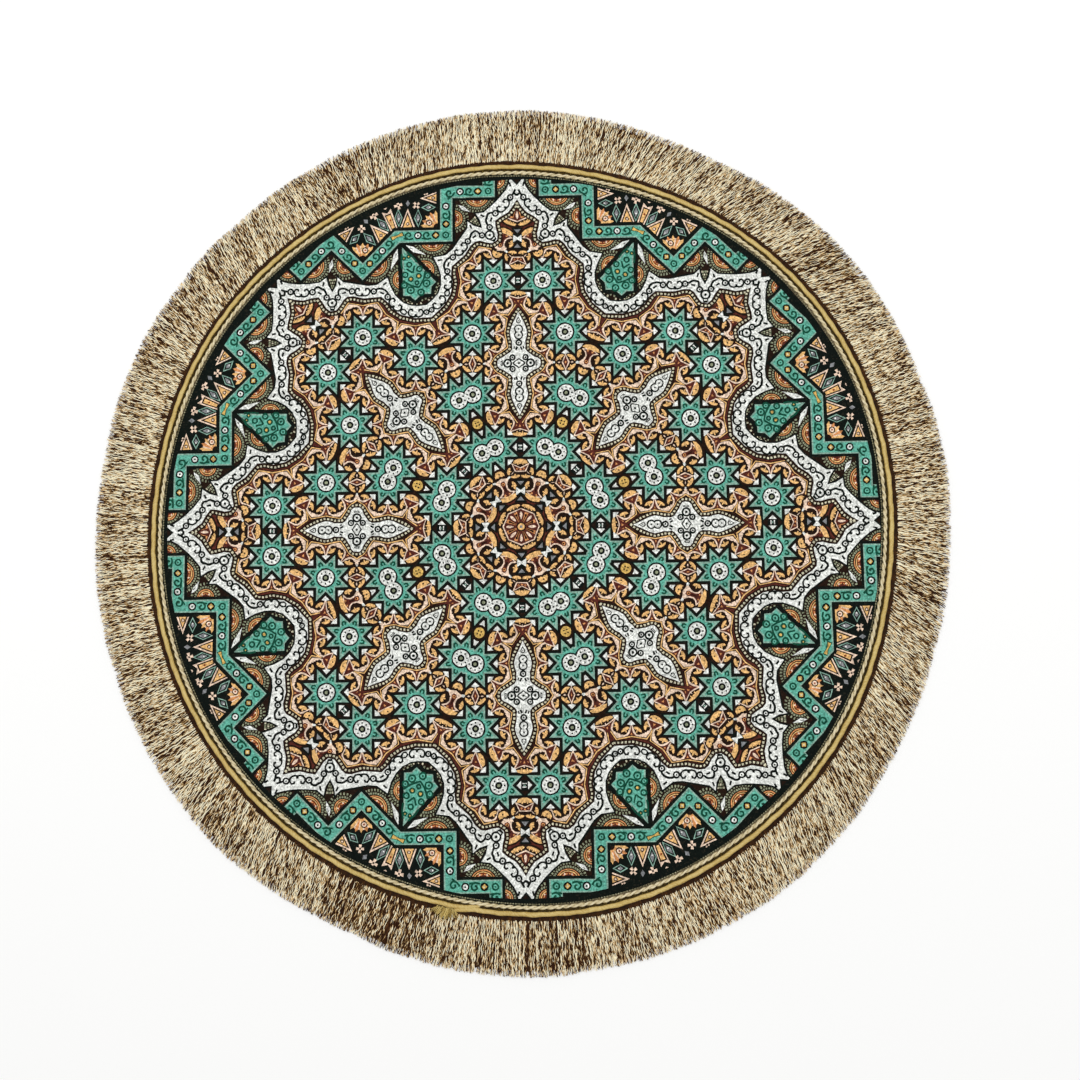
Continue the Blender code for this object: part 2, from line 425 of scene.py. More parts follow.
def drawStar(x, y, notches, fences):
    def add(layer, yarn, shape, turn=0.0, flip=1.0):
        placed = put(shape, x, y, turn, 1.0, flip)
        for fence in fences:
            if len(placed) > 2:
                placed = cut(placed, *fence)
        if len(placed) > 2:
            lay(layer, yarn, placed)

    rim, corner = star["rim"], star["corner"]
    for k in range(8):
        turn = 45.0 * k
        for flip, kind in zip((-1, 1), notches[k]):
            if kind in "ab":
                add(10, "bark", [(0, 40), (0, 93.5), polar(rim + 3.4, sixteenth), polar(40, sixteenth)],
                    turn, flip)
                add(11, "ochre", [(0, 60), (0, 91.5), polar(rim, sixteenth), polar(60, sixteenth)], turn,
                    flip)
                add(12, "bark", [(0, 40), (0, 88.6), polar(rim - 3.2, sixteenth), polar(40, sixteenth)],
                    turn, flip)
            else:
                add(10, "bark", [(0, 40), (0, 84), polar(84, sixteenth), polar(40, sixteenth)], turn, flip)
            if kind == "a":
                add(13, "wine", [(0, 62), (0, 87), (13, 89), (9, 84), (5, 76), (2, 64)], turn, flip)
                add(14, "peach", [(0, 79.5), (0, 85.5), (2.6, 86)], turn, flip)
                add(15, "cream", [(0, 59), (2.8, 74), (5.2, 81), (10, 87.4), (20, 91.4),
                                  polar(corner, sixteenth), polar(corner - 12, sixteenth), (30.4, 82.6),
                                  (28.4, 85.8), (25, 84.4), (20, 86.8), (13.6, 84.4), (10, 79.6), (6.6, 73),
                                  (3.6, 64), (1.5, 59)], turn, flip)
                add(16, "ochre", crescent((5.0, 67.6), (26.6, 79.8), -7.0, 1, 6.6, 1.6), turn, flip)
            if kind == "b":
                add(13, "bark", arc(0, 84.5, 31.5, 90, 180, 8) + [(0, 84.5)], turn, flip)
                add(15, "cream", [(0, 61), (10.4, 84.5), (7.0, 84.5), (0, 67)], turn, flip)
                add(15, "cream", [(0, 62), (1.6, 64), (1.6, 59), (0, 59)], turn, flip)
                add(14, "wine", [(0, 67), (7.0, 84.5), (0, 84.5)], turn, flip)
                add(15, "peach", [(0, 80), (1.9, 84.5), (0, 84.5)], turn, flip)
                add(16, "ochre", crescent((4.2, 64.6), (27.0, 81.4), -7.6, 1, 5.0, 1.6), turn, flip)
                add(17, "cream", [(13.6, 84.5), (18, 82.4), (22.6, 84.5)], turn, flip)
                add(17, "ivory", [(29, 84.5), (31.5, 81.6), (38, 84.5)], turn, flip)
    add(40, "ink", starOutline(star["side"] + star["outline"], star["blackTip"]))
    for notch in range(8):
        add(41, "ivory", [(0, star["kiteNear"]), (star["kiteHalf"], star["kiteFar"] - 0.6),
                          (0, star["kiteFar"] + 1.6), (-star["kiteHalf"], star["kiteFar"] - 0.6)],
                          45.0 * notch)
    add(50, "mist", starOutline(star["side"] + 0.4))
    add(51, "teal", starOutline(star["side"] - 2.4, 51.0))
    for point in range(8):
        turn = sixteenth + 45.0 * point
        flip = 1 if point % 2 else -1
        hook = [(4.6, 32.0)] + arc(0.2, 38.0, 4.7, 95, -90, 3) + [(-2.2, 32.6)]
        add(52, "pine", strip(hook, 4.6), turn, flip)
    add(53, "ink", disc(0, 0, 26.6, 16))
    add(54, "ivory", disc(0, 0, 22.2, 16))
    for dot in range(8):
        add(55, "ink", put(block(1.8, -2.4, 2.0, 2.2), 0, 15.6), 45.0 * dot)
    add(55, "ink", disc(0, 0, 9.8, 12))
    add(56, "sage", disc(0, 0, 4.4, 8))


def drawLink(first, second, sides):
    # two stars tip to tip: a line from kite to kite, and a leaf with an eye on the given sides
    x1, y1 = starSpots[first][:2]
    x2, y2 = starSpots[second][:2]
    turn = math.degrees(math.atan2(x2 - x1, y2 - y1))
    reach = math.hypot(x2 - x1, y2 - y1) / 2
    ends = reach - star["kiteTip"] * math.cos(math.radians(sixteenth))
    across = star["kiteTip"] * math.sin(math.radians(sixteenth))
    for side in sides:
        draw = pen((x1 + x2) / 2, (y1 + y2) / 2, turn, side)
        draw(17, "wine", [(across, -ends), (across, ends), (across + 17, 7), (across + 22, 0),
                          (across + 17, -7)])
        draw(18, "peach", [(across + 7, -3.4), (across + 14, 0), (across + 7, 3.4)])
        draw(18, "bark", [(2, -ends - 6), (across, -ends), (across, ends), (2, ends + 6)])
        draw(19, "cream", [(across - 1.2, -ends), (across + 1.6, -ends), (across + 1.6, ends),
                           (across - 1.2, ends)])
        for way in (1, -1):
            draw(19, "cream", strip([(across, way * ends), (across + 9, way * (ends - 6)),
                    (across + 19, way * 7.6)], 3.0))
        draw(20, "ochre", crescent((across - 3.2, ends - 4), (across - 3.2, 4 - ends), -11.5, 0))
        draw(21, "bark", disc(across - 8.4, 1.0, 2.3, 6))


def drawBridge(p, q, side):
    # a bowed line from kite to kite with a long leaf inside it
    mx, my = (p[0] + q[0]) / 2, (p[1] + q[1]) / 2
    turn = math.degrees(math.atan2(q[0] - p[0], q[1] - p[1])) - 90
    half = math.hypot(q[0] - p[0], q[1] - p[1]) / 2

    def draw(layer, yarn, shape):
        lay(layer, yarn, put([(u, side * v) for u, v in shape], mx, my, turn))

    draw(13, "wine", [(-half, 0), (half, 0), (half * 0.42, -20), (0, -30), (-half * 0.42, -20)])
    draw(14, "peach", [(-3, -13), (3, -13), (0, -20)])
    draw(14, "bark", [(-half, 0), (-half * 0.5, -5), (half * 0.5, -5), (half, 0), (half * 0.6, 15),
                      (-half * 0.6, 15)])
    draw(15, "cream", strip([(-half, 0.4), (-half * 0.45, -4.6), (0, -7.4), (half * 0.45, -4.6),
            (half, 0.4)], 2.8))
    draw(16, "cream", block(1.6, -7, 0.8, -1.5))
    draw(16, "ochre", crescent((-half + 3, 4.6), (half - 3, 4.6), 8.6, 2, 5.4, 1.8))


def drawKeyhole(x, y, turn):
    # three-armed cell: two arms, a keyhole bulb and the bean beyond it
    def draw(layer, yarn, shape, flip=1):
        lay(layer, yarn, put(shape, x, y, turn, 1.0, flip))

    draw(14, "bark", mirror([(0, -24), (21, -19), (29, -7), (31, 18), (24, 38), (17, 56), (12, 68)], -2))
    inside = mirror([(0, -8.6), (9, -6), (25, 0), (12.5, 7), (8.4, 15), (10.4, 26), (17, 35), (21.5, 41),
                     (9, 43.5), (0, 47)], -2)
    draw(15, "cream", inside)
    draw(16, "wine", mirror([(0, -5.8), (8, -3.4), (18, -0.4), (9.4, 5), (5.2, 14), (5.4, 24), (7.4, 31),
            (4.6, 37.6)], -2))
    for flip in (1, -1):
        draw(17, "peach", [(3.4, -1.6), (10.6, -0.2), (5.6, 3.4)], flip)
        draw(16, "ochre", crescent((25.4, 4.4), (24.6, 28.0), -7.6, 1, 6.0, 2.4), flip)
        draw(17, "ivory", [(19, 37), (27, 41), (25, 44.6), (17, 43)], flip)
    draw(17, "bark", block(1.6, 8, 2.2, 22))
    draw(17, "peach", disc(0, 30.4, 4.6, 8))
    draw(18, "bark", disc(0, 29.8, 2.6, 6))
    draw(16, "ochre", crescent((-25.0, -5.4), (25.0, -5.4), -13.0, 2, 3.6, 1.0))
    draw(19, "bark", mirror([(0, 48), (15, 47), (17, 60), (9, 70)], -1))
    draw(20, "ochre", mirror([(0, 53.6), (5, 50.4), (9.6, 52.6), (13, 50), (13.6, 58), (8, 65.6),
            (0, 67.6)], -3))
    draw(21, "bark", disc(0, 59.4, 2.4, 6))


def drawMask(upside):
    # crown-shaped cell on the axis between two kites
    def draw(layer, yarn, shape):
        lay(layer, yarn, [(u, 2 * cartoucheAt - v if upside else v) for u, v in shape])

    draw(16, "bark", mirror([(0, 190), (24, 176), (34, 160), (33, 138), (18, 129), (0, 133)], -1))
    draw(17, "cream", [(-25.6, 173), (-15.2, 148.6), (15.2, 148.6), (25.6, 173), (0, 160.6)])
    draw(18, "wine", [(-21, 168), (-13, 151.4), (13, 151.4), (21, 168), (0, 157.6)])
    draw(19, "peach", [(0, 157), (3.6, 154.6), (0, 151.8), (-3.6, 154.6)])
    for s in (1, -1):
        draw(19, "peach", [(s * 9, 160.4), (s * 12, 157), (s * 9, 153.6), (s * 6, 157)])
        draw(20, "wine", [(s * 9, 158.6), (s * 10.4, 157), (s * 9, 155.4), (s * 7.6, 157)])
        draw(18, "cream", [(s * 17, 150), (s * 19.6, 145.6), (s * 25.6, 141), (s * 21, 147.6)])
    draw(18, "ochre", crescent((-21, 171.6), (21, 171.6), 12.6, 2, 3.4, 1.0))
    for p, q in (((-28, 160), (-31, 139)), ((-27, 136.6), (-1.4, 139)), ((1.4, 139), (27, 136.6)),
                 ((31, 139), (28, 160))):
        draw(18, "ochre", crescent(p, q, -6.6, 1, 4.6, 1.6))


def drawStars():
    fences = {name: [] for name in starSpots}
    for a, b in joins:
        (ax, ay), (bx, by) = starSpots[a][:2], starSpots[b][:2]
        fences[a].append(((ax + bx) / 2, (ay + by) / 2, ax - bx, ay - by))
        fences[b].append(((ax + bx) / 2, (ay + by) / 2, bx - ax, by - ay))
    for name, (x, y, notches) in starSpots.items():
        drawStar(x, y, notches, fences[name])
    drawLink("high", "upper", (1, -1))
    drawLink("lower", "low", (1,))
    for y, side in ((highStars - 43.0, 1), (lowStars + 43.0, -1)):
        drawBridge((-25.4, y), (25.4, y), side)
    drawBridge(polar(563.6, sixteenth - 2.95), polar(563.6, sixteenth + 2.95), -1)
    drawKeyhole(*polar(514, sixteenth), 202.5)
    lay(9, "bark", put(block(26, -14, 22, 14), *polar(542, sixteenth), sixteenth))
    # the gap between the twin stars on the axis
    for y in (lowStars, highStars):
        lay(45, "ink", put(block(9, -14, 9, 14), 0, y))
        for s in (1, -1):
            lay(46, "ivory", put([(s * 9.4, -9.6), (s * 19.6, 0), (s * 9.4, 9.6)], 0, y))
            lay(46, "ivory", put([(-5.4, s * 3.2), (5.4, s * 3.2), (5.4, s * 6.0), (-5.4, s * 6.0)], 0, y))
        lay(47, "mist", put(block(3, -1.2, 3, 1.2), 0, y))


# cartouche
def ring(layer, x, y, radius, line, sides, dot):
    lay(layer, "ink", disc(x, y, radius, sides))
    lay(layer + 1, "ivory", disc(x, y, radius - line, sides))
    lay(layer + 2, "ink", disc(x, y, dot, 6))


def drawCartouche():
    half = [(0, 143), (6, 128), (12, 116), (19, 100), (22.6, 86), (20.5, 72), (17, 62), (17.5, 48),
            (16.2, 41), (22, 31), (33, 23), (42, 17), (52, 13.5), (57.6, 8), (58.6, 0)]
    outline = half + [(x, -y) for x, y in half[::-1][1:]]
    outline = outline + [(-x, y) for x, y in outline[::-1][1:-1]]

    def grown(more):
        out = []
        for i, (x, y) in enumerate(outline):
            ax, ay = outline[i - 1]
            bx, by = outline[(i + 1) % len(outline)]
            tx, ty = bx - ax, by - ay
            length = math.hypot(tx, ty) or 1
            out.append((x - ty / length * more, y + tx / length * more))
        return [(x, y + cartoucheAt) for x, y in out]

    lay(8, "wine", grown(21))
    lay(9, "bark", grown(17.5))
    lay(22, "bark", grown(13.2))
    lay(34, "ivory", grown(1.0))
    edge = grown(8.0)
    for x, y, turn in path(edge + edge[:1], 10.0):
        lay(23, "sand", put(block(2.5, -2.7, 2.8, 2.7), x, y, turn))
    for sign in (1, -1):
        def up(v):
            return cartoucheAt + sign * v
        lay(35, "ink", [(0, up(130)), (6.6, up(119)), (6.2, up(113)), (0, up(110)), (-6.2, up(113)),
                        (-6.6, up(119))])
        lay(36, "ivory", [(0, up(126)), (3.8, up(118.6)), (3.4, up(115)), (0, up(113)), (-3.4, up(115)),
                          (-3.8, up(118.6))])
        lay(37, "ink", disc(0, up(118), 1.7, 5))
        for v in (95, 78):
            lay(35, "ink", disc(0, up(v), 12.9, 14))
            lay(36, "ivory", disc(0, up(v), 8.8, 12))
            lay(37, "ink", disc(0, up(v), 2.8, 6))
        ring(35, 0, up(57), 9.6, 4.8, 12, 2.8)
        for side in (1, -1):
            lay(35, "ink", strip([(side * 4.4, up(46)), (side * 8.8, up(37))], 5.2))
            lay(35, "ink", strip([(side * 11.8, up(47)), (side * 14.2, up(40))], 4.0))
            ring(35, side * 18, up(16), 9.2, 4.8, 10, 2.8)
    for side in (1, -1):
        ring(35, side * 31.6, cartoucheAt, 13.0, 5.2, 14, 4.0)
        lay(35, "ink", put([(-2.4, -8), (3.4, -6.4), (3.4, 6.4), (-2.4, 8)], side * 47.4, cartoucheAt, 0, 1,
                           side))
        lay(36, "ivory", put([(-0.4, -4.6), (1.4, -4.0), (1.4, 4.0), (-0.4, 4.6)], side * 47.4, cartoucheAt,
                             0, 1, side))
    almond = mirror([(0, 16), (10, 9), (17, 5), (20, 0), (17, -5), (10, -9), (0, -16)])
    lay(35, "ink", put(almond, 0, cartoucheAt, 0, 0.9))
    lay(36, "ivory", put(almond, 0, cartoucheAt, 0, 0.66))
    lay(37, "ink", put(diamond(3.4, 4.6), 0, cartoucheAt))


# scalloped white border, by its two edges
borderOuter = [(-19.7, 969), (0, 949), (19.7, 972), (22, 952), (31, 936), (46.7, 916.7), (70, 893),
               (93, 874), (116, 871.5), (104, 852), (98.3, 829), (121, 836),
               (138.3, 849), (139, 829), (160, 800), (181, 770), (200, 754), (234, 748.5), (221, 723),
               (213.0, 697), (213, 671), (221, 648), (236, 630), (254.5, 614.4)]
borderInner = [(0, 910), (10, 893), (25, 873), (46.7, 860), (62, 848), (60, 830), (55, 810), (57, 795),
               (70, 786), (86, 788), (105, 793), (118, 791), (131, 780),
               (147, 754), (169, 735), (184, 722), (186, 700), (181, 676), (187, 645), (206, 613), (240, 581)]


def foldOver(points):
    # carries a line on over the wedge's mirror line
    out = []
    for x, y in points[::-1][1:]:
        r, a = math.hypot(x, y), math.degrees(math.atan2(x, y))
        out.append(polar(r, 45 - a))
    return out


def drawBorder():
    outer = borderOuter + foldOver(borderOuter)[:3]
    inner = borderInner + foldOver(borderInner)[:4]
    left = [(-x, y) for x, y in borderInner[1:5][::-1]]
    cell = outer + inner[::-1]
    lay(63.8, "bark", strip(beside(left + inner, -7.0), 16))
    for x, y, turn in path(beside(left + inner, -8.6), 10.0):
        lay(63.9, "sand", put(block(2.5, -2.7, 2.8, 2.7), x, y, turn))
    lay(65, "ink", strip(outer, 9.0))
    lay(66, "ivory", [(-10, 960)] + cell + [(-10, 893)])
    # rings, curls and ticks
    for x, y, size in ((18.3, 915, 8.4), (60.5, 870.5, 8.6), (77, 831, 8.2), (98.6, 808.5, 8.2),
                       (138.4, 792.4, 8.4), (180.5, 748, 8.4), (196, 709, 8.2)):
        ring(68, x, y, size + 1.6, 5.0, 10, 2.6)
    lay(68, "ink", put([(-6, -9), (5, -10), (9, 0), (6, 9), (-5, 10), (-9, 0)], 197, 647, -14))
    lay(69, "ivory", put([(-2.4, -5.6), (2.2, -5.8), (4.4, 0), (2.4, 5.6), (-2.2, 5.8), (-4.4, 0)], 197,
                         647, -14))
    ring(68, 240.4, 600.6, 9.2, 5.0, 8, 2.4)
    ring(68, 77, 809, 14.6, 5.2, 14, 4.2)
    lay(67, "ink", put(block(9, -5, 6, 6), 66, 797, 225))
    lay(68, "ivory", put(block(5, -2.6, 4, 0), 66, 797, 225))
    bends = [
        [(67, 871), (75, 873), (83, 868), (84, 859), (88, 852), (85, 842), (82, 836)],
        [(105, 812), (112, 820), (118, 822), (124, 818), (130, 812), (133, 800)],
        [(187, 748), (196, 744), (203, 735), (206, 722), (202, 714)],
        [(-8, 928), (0, 920), (8, 928)], [(4, 938), (10, 926), (14, 921)],
    ]
    for bend in bends:
        lay(67, "ink", strip(smooth(bend, 1), 6.0))
    # pairs of scrolls that meet in a point
    scroll = [(0, 0), (8, -1), (15, 1), (20, 6.5), (20.5, 14), (16, 20), (9.6, 19), (8.6, 13.5)]
    for x, y, turn in ((30.5, 884.5, 47), (150, 763, 46), (184.5, 678, 90), (211, 614, 47)):
        for flip in (1, -1):
            lay(67, "ink", put(strip(scroll, 4.8), x, y, turn, 1.0, flip))
        lay(67, "ink", put([(-5, 0), (0, -2.5), (5, 0), (2.4, 7), (-2.4, 7)], x, y, turn))
    for x, y, turn in ((72.5, 853, 165), (120, 805, 120), (193, 728, 165), (97, 864, 60), (130, 834, 20),
                       (217, 741, 100), (19, 953, 15)):
        lay(67, "ink", put(block(2.6, -6, 2.6, 6), x, y, turn))


# outer ground
zigzag = [(79, 1030), (79, 934), (198, 934), (198, 810), (335.5, 810), (420, 725)]


def halfRosette(x, y, turn, layer, radius, behind):
    # rings and two rows of scales about a point that may lie behind the edge it grows from
    def draw(layer, yarn, shape):
        lay(layer, yarn, put([(u, v - behind) for u, v in shape], x, y, turn))

    draw(layer, "bark", arc(0, 0, radius + 21, -98, 98, 16))
    pitch = 14.2 * 23.0 / radius
    for n in range(-9, 10):
        if abs(n * pitch) < 96:
            inner = [(-2.1, radius + 2.8), (2.1, radius + 2.8), (2.4, radius + 8.0), (-2.4, radius + 8.0)]
            outer = [(-1.8, radius + 10.8), (1.8, radius + 10.8), (2.3, radius + 17.4), (-2.3, radius + 17.4)]
            draw(layer, "sage", put(inner, 0, 0, n * pitch))
            draw(layer, "sage", put(outer, 0, 0, n * pitch + pitch / 2))
    for less, yarn in ((0.0, "peach"), (2.8, "bark"), (5.0, "ochre"), (7.6, "bark"), (9.0, "rust")):
        draw(layer + 0.1, yarn, arc(0, 0, radius - less, -92, 92, 12))
    draw(layer + 0.2, "peach", arc(0, 0, radius - 11.6, -92, 92, 10))
    draw(layer + 0.25, "wine", arc(0, 0, radius - 13.8, -92, 92, 8))
    draw(layer + 0.3, "wine", [(-10, 0), (-10, radius - 15), (-3.4, radius - 17), (0, radius - 10),
            (3.4, radius - 17), (10, radius - 15), (10, 0)])
    for u in (-9.6, 9.6):
        draw(layer + 0.4, "cream", [(u - 2.6, radius - 14), (u, radius - 11), (u + 2.6, radius - 14),
                (u, radius - 18)])


def drawScales(x, y, turn, rows, width):
    # rows of small grey-green bars, one behind the other
    for row in range(rows):
        far = 9 + row * 8.0
        wide = width * (row + 1) / rows
        count = max(2, int(wide / 5.0))
        for k in range(count):
            u = (k - (count - 1) / 2) * 5.0
            bar = [(u - 1.5, far - 2.8), (u + 1.5, far - 2.8), (u + 1.7, far + 2.4), (u - 1.7, far + 2.4)]
            lay(62, "sage" if (row + k) % 3 else "sand", put(bar, x, y, turn))


def drawOuter():
    beyond = borderOuter + foldOver(borderOuter)[:3] + [(420, 560), (420, 1100), (-60, 1100), (-60, 960)]
    lay(60, "bark", beyond)
    drawScales(100, 831, 45, 4, 22)
    drawScales(232, 645, 300, 3, 24)
    rosettes = ((111.5, 911, 180, 34, 14), (176, 858, 270, 23, 0), (237, 787, 180, 35, 15),
                (57, 965, 270, 23, 0), (257, 716, 315, 27, 4))
    for n, (x, y, turn, radius, behind) in enumerate(rosettes):
        halfRosette(x, y, turn, 62 + 0.5 * n, radius, behind)
    # scales round the fan's lower end
    cx, cy = polar(749, sixteenth)
    for n in range(6):
        turn = 207 + n * 9.6
        lay(64.9, "sage", put(block(3.0, 60, 2.0, 69), cx, cy, turn))
        lay(64.9, "sand", put(block(1.8, 71, 2.4, 77), cx, cy, turn + 4.8))


def fanOutline(grow=0.0):
    corners = [polar(849, sixteenth), polar(717.7, 18.4), polar(706.8, 19.75), polar(689, 20.5),
               polar(697, sixteenth)]
    half = [polar(849 + grow * 2.8, sixteenth)] + beside(corners,
            -grow)[1:4] + [polar(697 - grow * 1.1, sixteenth)]
    return half + foldOver(half)[:-1]


def drawFan():
    lay(72, "ink", fanOutline(10.0))
    lay(73, "mist", fanOutline(-2.0))
    lay(74, "teal", fanOutline(-6.5))
    # scrolls of dark green with teal and gold centres
    for r, a, size, yarn in ((722, 20.6, 10.5, "teal"), (705, sixteenth, 10.0, "teal"),
            (742, 19.8, 9.0, "teal"), (768, 20.9, 8.6, "teal"), (790, sixteenth, 8.0, "teal"),
            (750, 21.6, 7.6, "gold"), (734, sixteenth, 6.4, "teal"), (812, 22.0, 5.4, "gold")):
        x, y = polar(r, a)
        lay(75, "pine", disc(x, y, size + 1.2, 10))
        lay(76, yarn, disc(x, y, size - 3.6, 8))
        if size > 8.5:
            lay(77, "pine", disc(x, y, size - 7.0, 6))
    for course in (((826, 22.0), (806, 21.2), (788, 20.9)), ((782, 21.6), (764, sixteenth)),
                   ((756, 19.9), (734, 21.0), (720, sixteenth))):
        lay(75, "pine", strip(smooth([polar(*p) for p in course], 1), 5.0))
    # white leaves at the apex and in the corners of the zigzag
    for (rx, ry), (tx, ty), width in (((322, 788), (256, 757), 20), ((164, 897), (131, 876), 14)):
        mx, my = rx + (tx - rx) * 0.42, ry + (ty - ry) * 0.42
        dx, dy = tx - rx, ty - ry
        length = math.hypot(dx, dy)
        nx, ny = -dy / length, dx / length
        for layer, yarn, grow in ((70, "ink", 3), (71, "ivory", 0)):
            w = width / 2 + grow
            leaf = [(rx, ry), (mx + nx * w, my + ny * w),
                    (tx + dx / length * grow, ty + dy / length * grow),
                    (mx - nx * w * 0.6, my - ny * w * 0.6)]
            lay(layer, yarn, leaf)
        lay(71.5, "ink", put([(-1.2, -6), (1.2, -6), (0, 5)], mx, my, math.degrees(math.atan2(dx, dy))))


def drawZigzag():
    lay(78, "ink", [(zigzag[0][0], 1060)] + zigzag[1:5] + [(500, 1200)])
    lay(84, "ink", strip(zigzag, 50))
    lay(85, "mist", strip(zigzag, 34))
    lay(86, "teal", strip(zigzag, 27))
    motifs = [(80, 935, "o", 0), (109, 935, "g", 0), (134, 935, "s", 0), (159, 935, "r", 0),
              (189, 930, "s", 45), (199, 894, "r", 90), (199, 868, "s", 90),
              (199, 843, "g", 90), (200, 812, "o", 0), (228, 812, "g", 0), (253, 812, "s", 0),
              (278, 812, "r", 0), (304, 812, "s", 0), (80, 962, "s", 0)]
    for x, y, kind, turn in motifs:
        draw = pen(x, y, turn)
        if kind == "r":
            lay(87, "ink", disc(x, y, 11.4, 10))
            lay(88, "ivory", disc(x, y, 6.8, 10))
            lay(89, "pine", disc(x, y, 3.0, 6))
        elif kind == "g":
            draw(87, "ink", mirror([(0, 11.6), (7.8, 7.8), (11.6, 0), (7.8, -7.8), (0, -11.6)]))
            draw(88, "gold", diamond(7.2, 7.2))
            draw(89, "sand", diamond(3.4, 3.4))
        elif kind == "o":
            lay(87, "pine", disc(x, y, 10.4, 10))
            lay(88, "teal", disc(x, y, 5.8, 8))
            lay(89, "pine", disc(x, y, 2.6, 5))
        else:
            curl = [(-13, -8), (-4, -11), (5, -9), (10, -2), (7, 6), (0, 9), (-6, 5), (-5, -1), (0, -3)]
            draw(87, "pine", strip(smooth(curl, 1), 5.2))
            draw(87, "pine", strip([(4, -10), (15, -8)], 4.6))
    draw = pen(*polar(878, sixteenth), sixteenth)
    draw(87, "pine", mirror([(3, -4), (19, -7), (19, 7), (3, 4)], -3))
    draw(88, "gold", mirror([(2, -2), (16, -4.6), (16, 4.6), (2, 2)], -3))
    drawSunburst()


def drawSunburst():
    # petals, almonds and crosses on the dark ground outside the zigzag
    for (x, y), turn, half, length in (((226, 919), 90, 17, 46), ((306.5, 837), 0, 20, 53)):
        draw = pen(x, y, turn)
        draw(80, "cream", [(-half, 0), (half, 0), (0, length)])
        draw(81, "bark", [(-half + 4.0, 0), (half - 4.0, 0), (0, length - 10)])
        draw(82, "ochre", [(-half + 7.4, 0), (half - 7.4, 0), (0, length - 19)])
        draw(83, "bark", disc(0, 9, 5.6, 6))
        draw(83.5, "cream", disc(0, 9, 3.0, 6))
    for (x, y), turn, half, length in (((248, 892), 90, 11, 21), ((277, 862), 0, 11.5, 26),
            ((332, 864), 3, 11.5, 27)):
        draw = pen(x, y, turn)
        draw(80, "mist", [(0, length), (half, 0), (0, -length), (-half, 0)])
        draw(81, "ink", [(0, length - 5), (half - 2.6, 0), (0, 5 - length), (2.6 - half, 0)])
        draw(82, "stone", [(0, length - 13), (half - 5.6, 0), (0, 13 - length), (5.6 - half, 0)])
        draw(83, "ivory", disc(0, -4, 2.4, 5))
    lay(80, "bark", arc(224, 836, 43, 0, 90, 6) + [(224, 836)])
    for k in range(5):
        lay(81, "peach" if k % 2 else "ochre", put([(-3.6, 10), (3.6, 10), (6.0, 34), (0, 46), (-6.0, 34)],
                224, 836, 5 + k * 20))
    for k in range(4):
        lay(82, "cream", put(block(1.2, 16, 2.0, 38), 224, 836, 15 + k * 20))
    lay(82.4, "bark", disc(246, 848, 9.4, 8))
    lay(82.6, "cream", disc(246, 848, 6.4, 8))
    lay(83, "rust", disc(246, 848, 2.8, 6))
    for x, y, turn, size in ((282, 899, 40, 0.95), (333, 900, 15, 1.05), (254, 927, 60, 0.6)):
        draw = pen(x, y, turn)
        for more in (0, 90):
            lay(80, "cream", put(mirror([(4.0, -11), (2.2, 0), (4.0, 11)], -1), x, y, turn + more, size))
        draw(81, "bark", disc(0, 0, 3, 6))
    lay(80, "stone", put([(-6, 0), (0, -9), (6, 0), (0, 9)], 306, 905))
    draw = pen(*polar(902, sixteenth), sixteenth)
    draw(80, "cream", [(-10, -2), (10, -2), (13.6, 56), (0, 47), (-13.6, 56)])
    draw(81, "bark", block(7, 0, 9.6, 45))
    draw(82, "ochre", block(3.8, 2, 6.0, 41))
    draw(83, "rust", disc(0, 26, 3.4, 6))
    draw = pen(*polar(968, sixteenth), sixteenth)
    draw(80, "cream", [(-8, 0), (0, -6), (8, 0), (0, 6)])


# middle of the rug, which comes back half hidden under the border's points
def drawMiddle(upside):
    def at(shape):
        return [(u, 2 * cartoucheAt - v if upside else v) for u, v in shape]

    def turned(layer, yarn, shape, turn=0):
        lay(layer, yarn, at(put(shape, 0, 0, turn)))

    base = 26 if upside else 27
    turned(base, "bark", disc(0, 0, 67, 32))
    for k in range(-2, 3):
        turned(base + 1, "ochre", crescent(polar(57.4, -20.5), polar(57.4, 20.5), 8.0, 3, 4.0, 1.6),
               45 * k + sixteenth)
    turned(base + 1, "cream", [polar(50.5 if k % 2 == 0 else 46.5, sixteenth * k) for k in range(16)])
    turned(base + 2, "wine", [polar(47.5 if k % 2 == 0 else 43.5, sixteenth * k) for k in range(16)])
    for k in range(-2, 3):
        turned(base + 3, "cream", smooth([(0, 43), (4.6, 33), (0, 16), (-4.6, 33)], 1, True), 45 * k)
        turned(base + 3, "peach", block(5, 41, 1.6, 14), 45 * k + sixteenth)
        turned(base + 4, "bark", block(2.4, 36, 0.9, 14), 45 * k + sixteenth)
        turned(base + 4, "bark", disc(0, 33, 3.6, 6), 45 * k + sixteenth)
    turned(base + 4, "bark", disc(0, 0, 13, 16))
    turned(base + 5, "ochre", disc(0, 0, 9.4, 12))
    turned(base + 6, "stone", disc(0, 0, 4.2, 8))
    # bow tie and grey wedges
    for s, apex, foot in ((1, 82, 71), (-1, 112, 123)):
        turned(27, "ink", [(0, apex + 5 * s), (18, foot - 5 * s), (-18, foot - 5 * s)])
        turned(28, "stone", [(0, apex), (9.4, foot), (-9.4, foot)])
    turned(28, "ink", block(13, 84, 13, 110))
    for s in (1, -1):
        turned(29, "ivory", [(s * 12, 85.8), (s * 12, 107.2), (0, 99), (0, 94)])


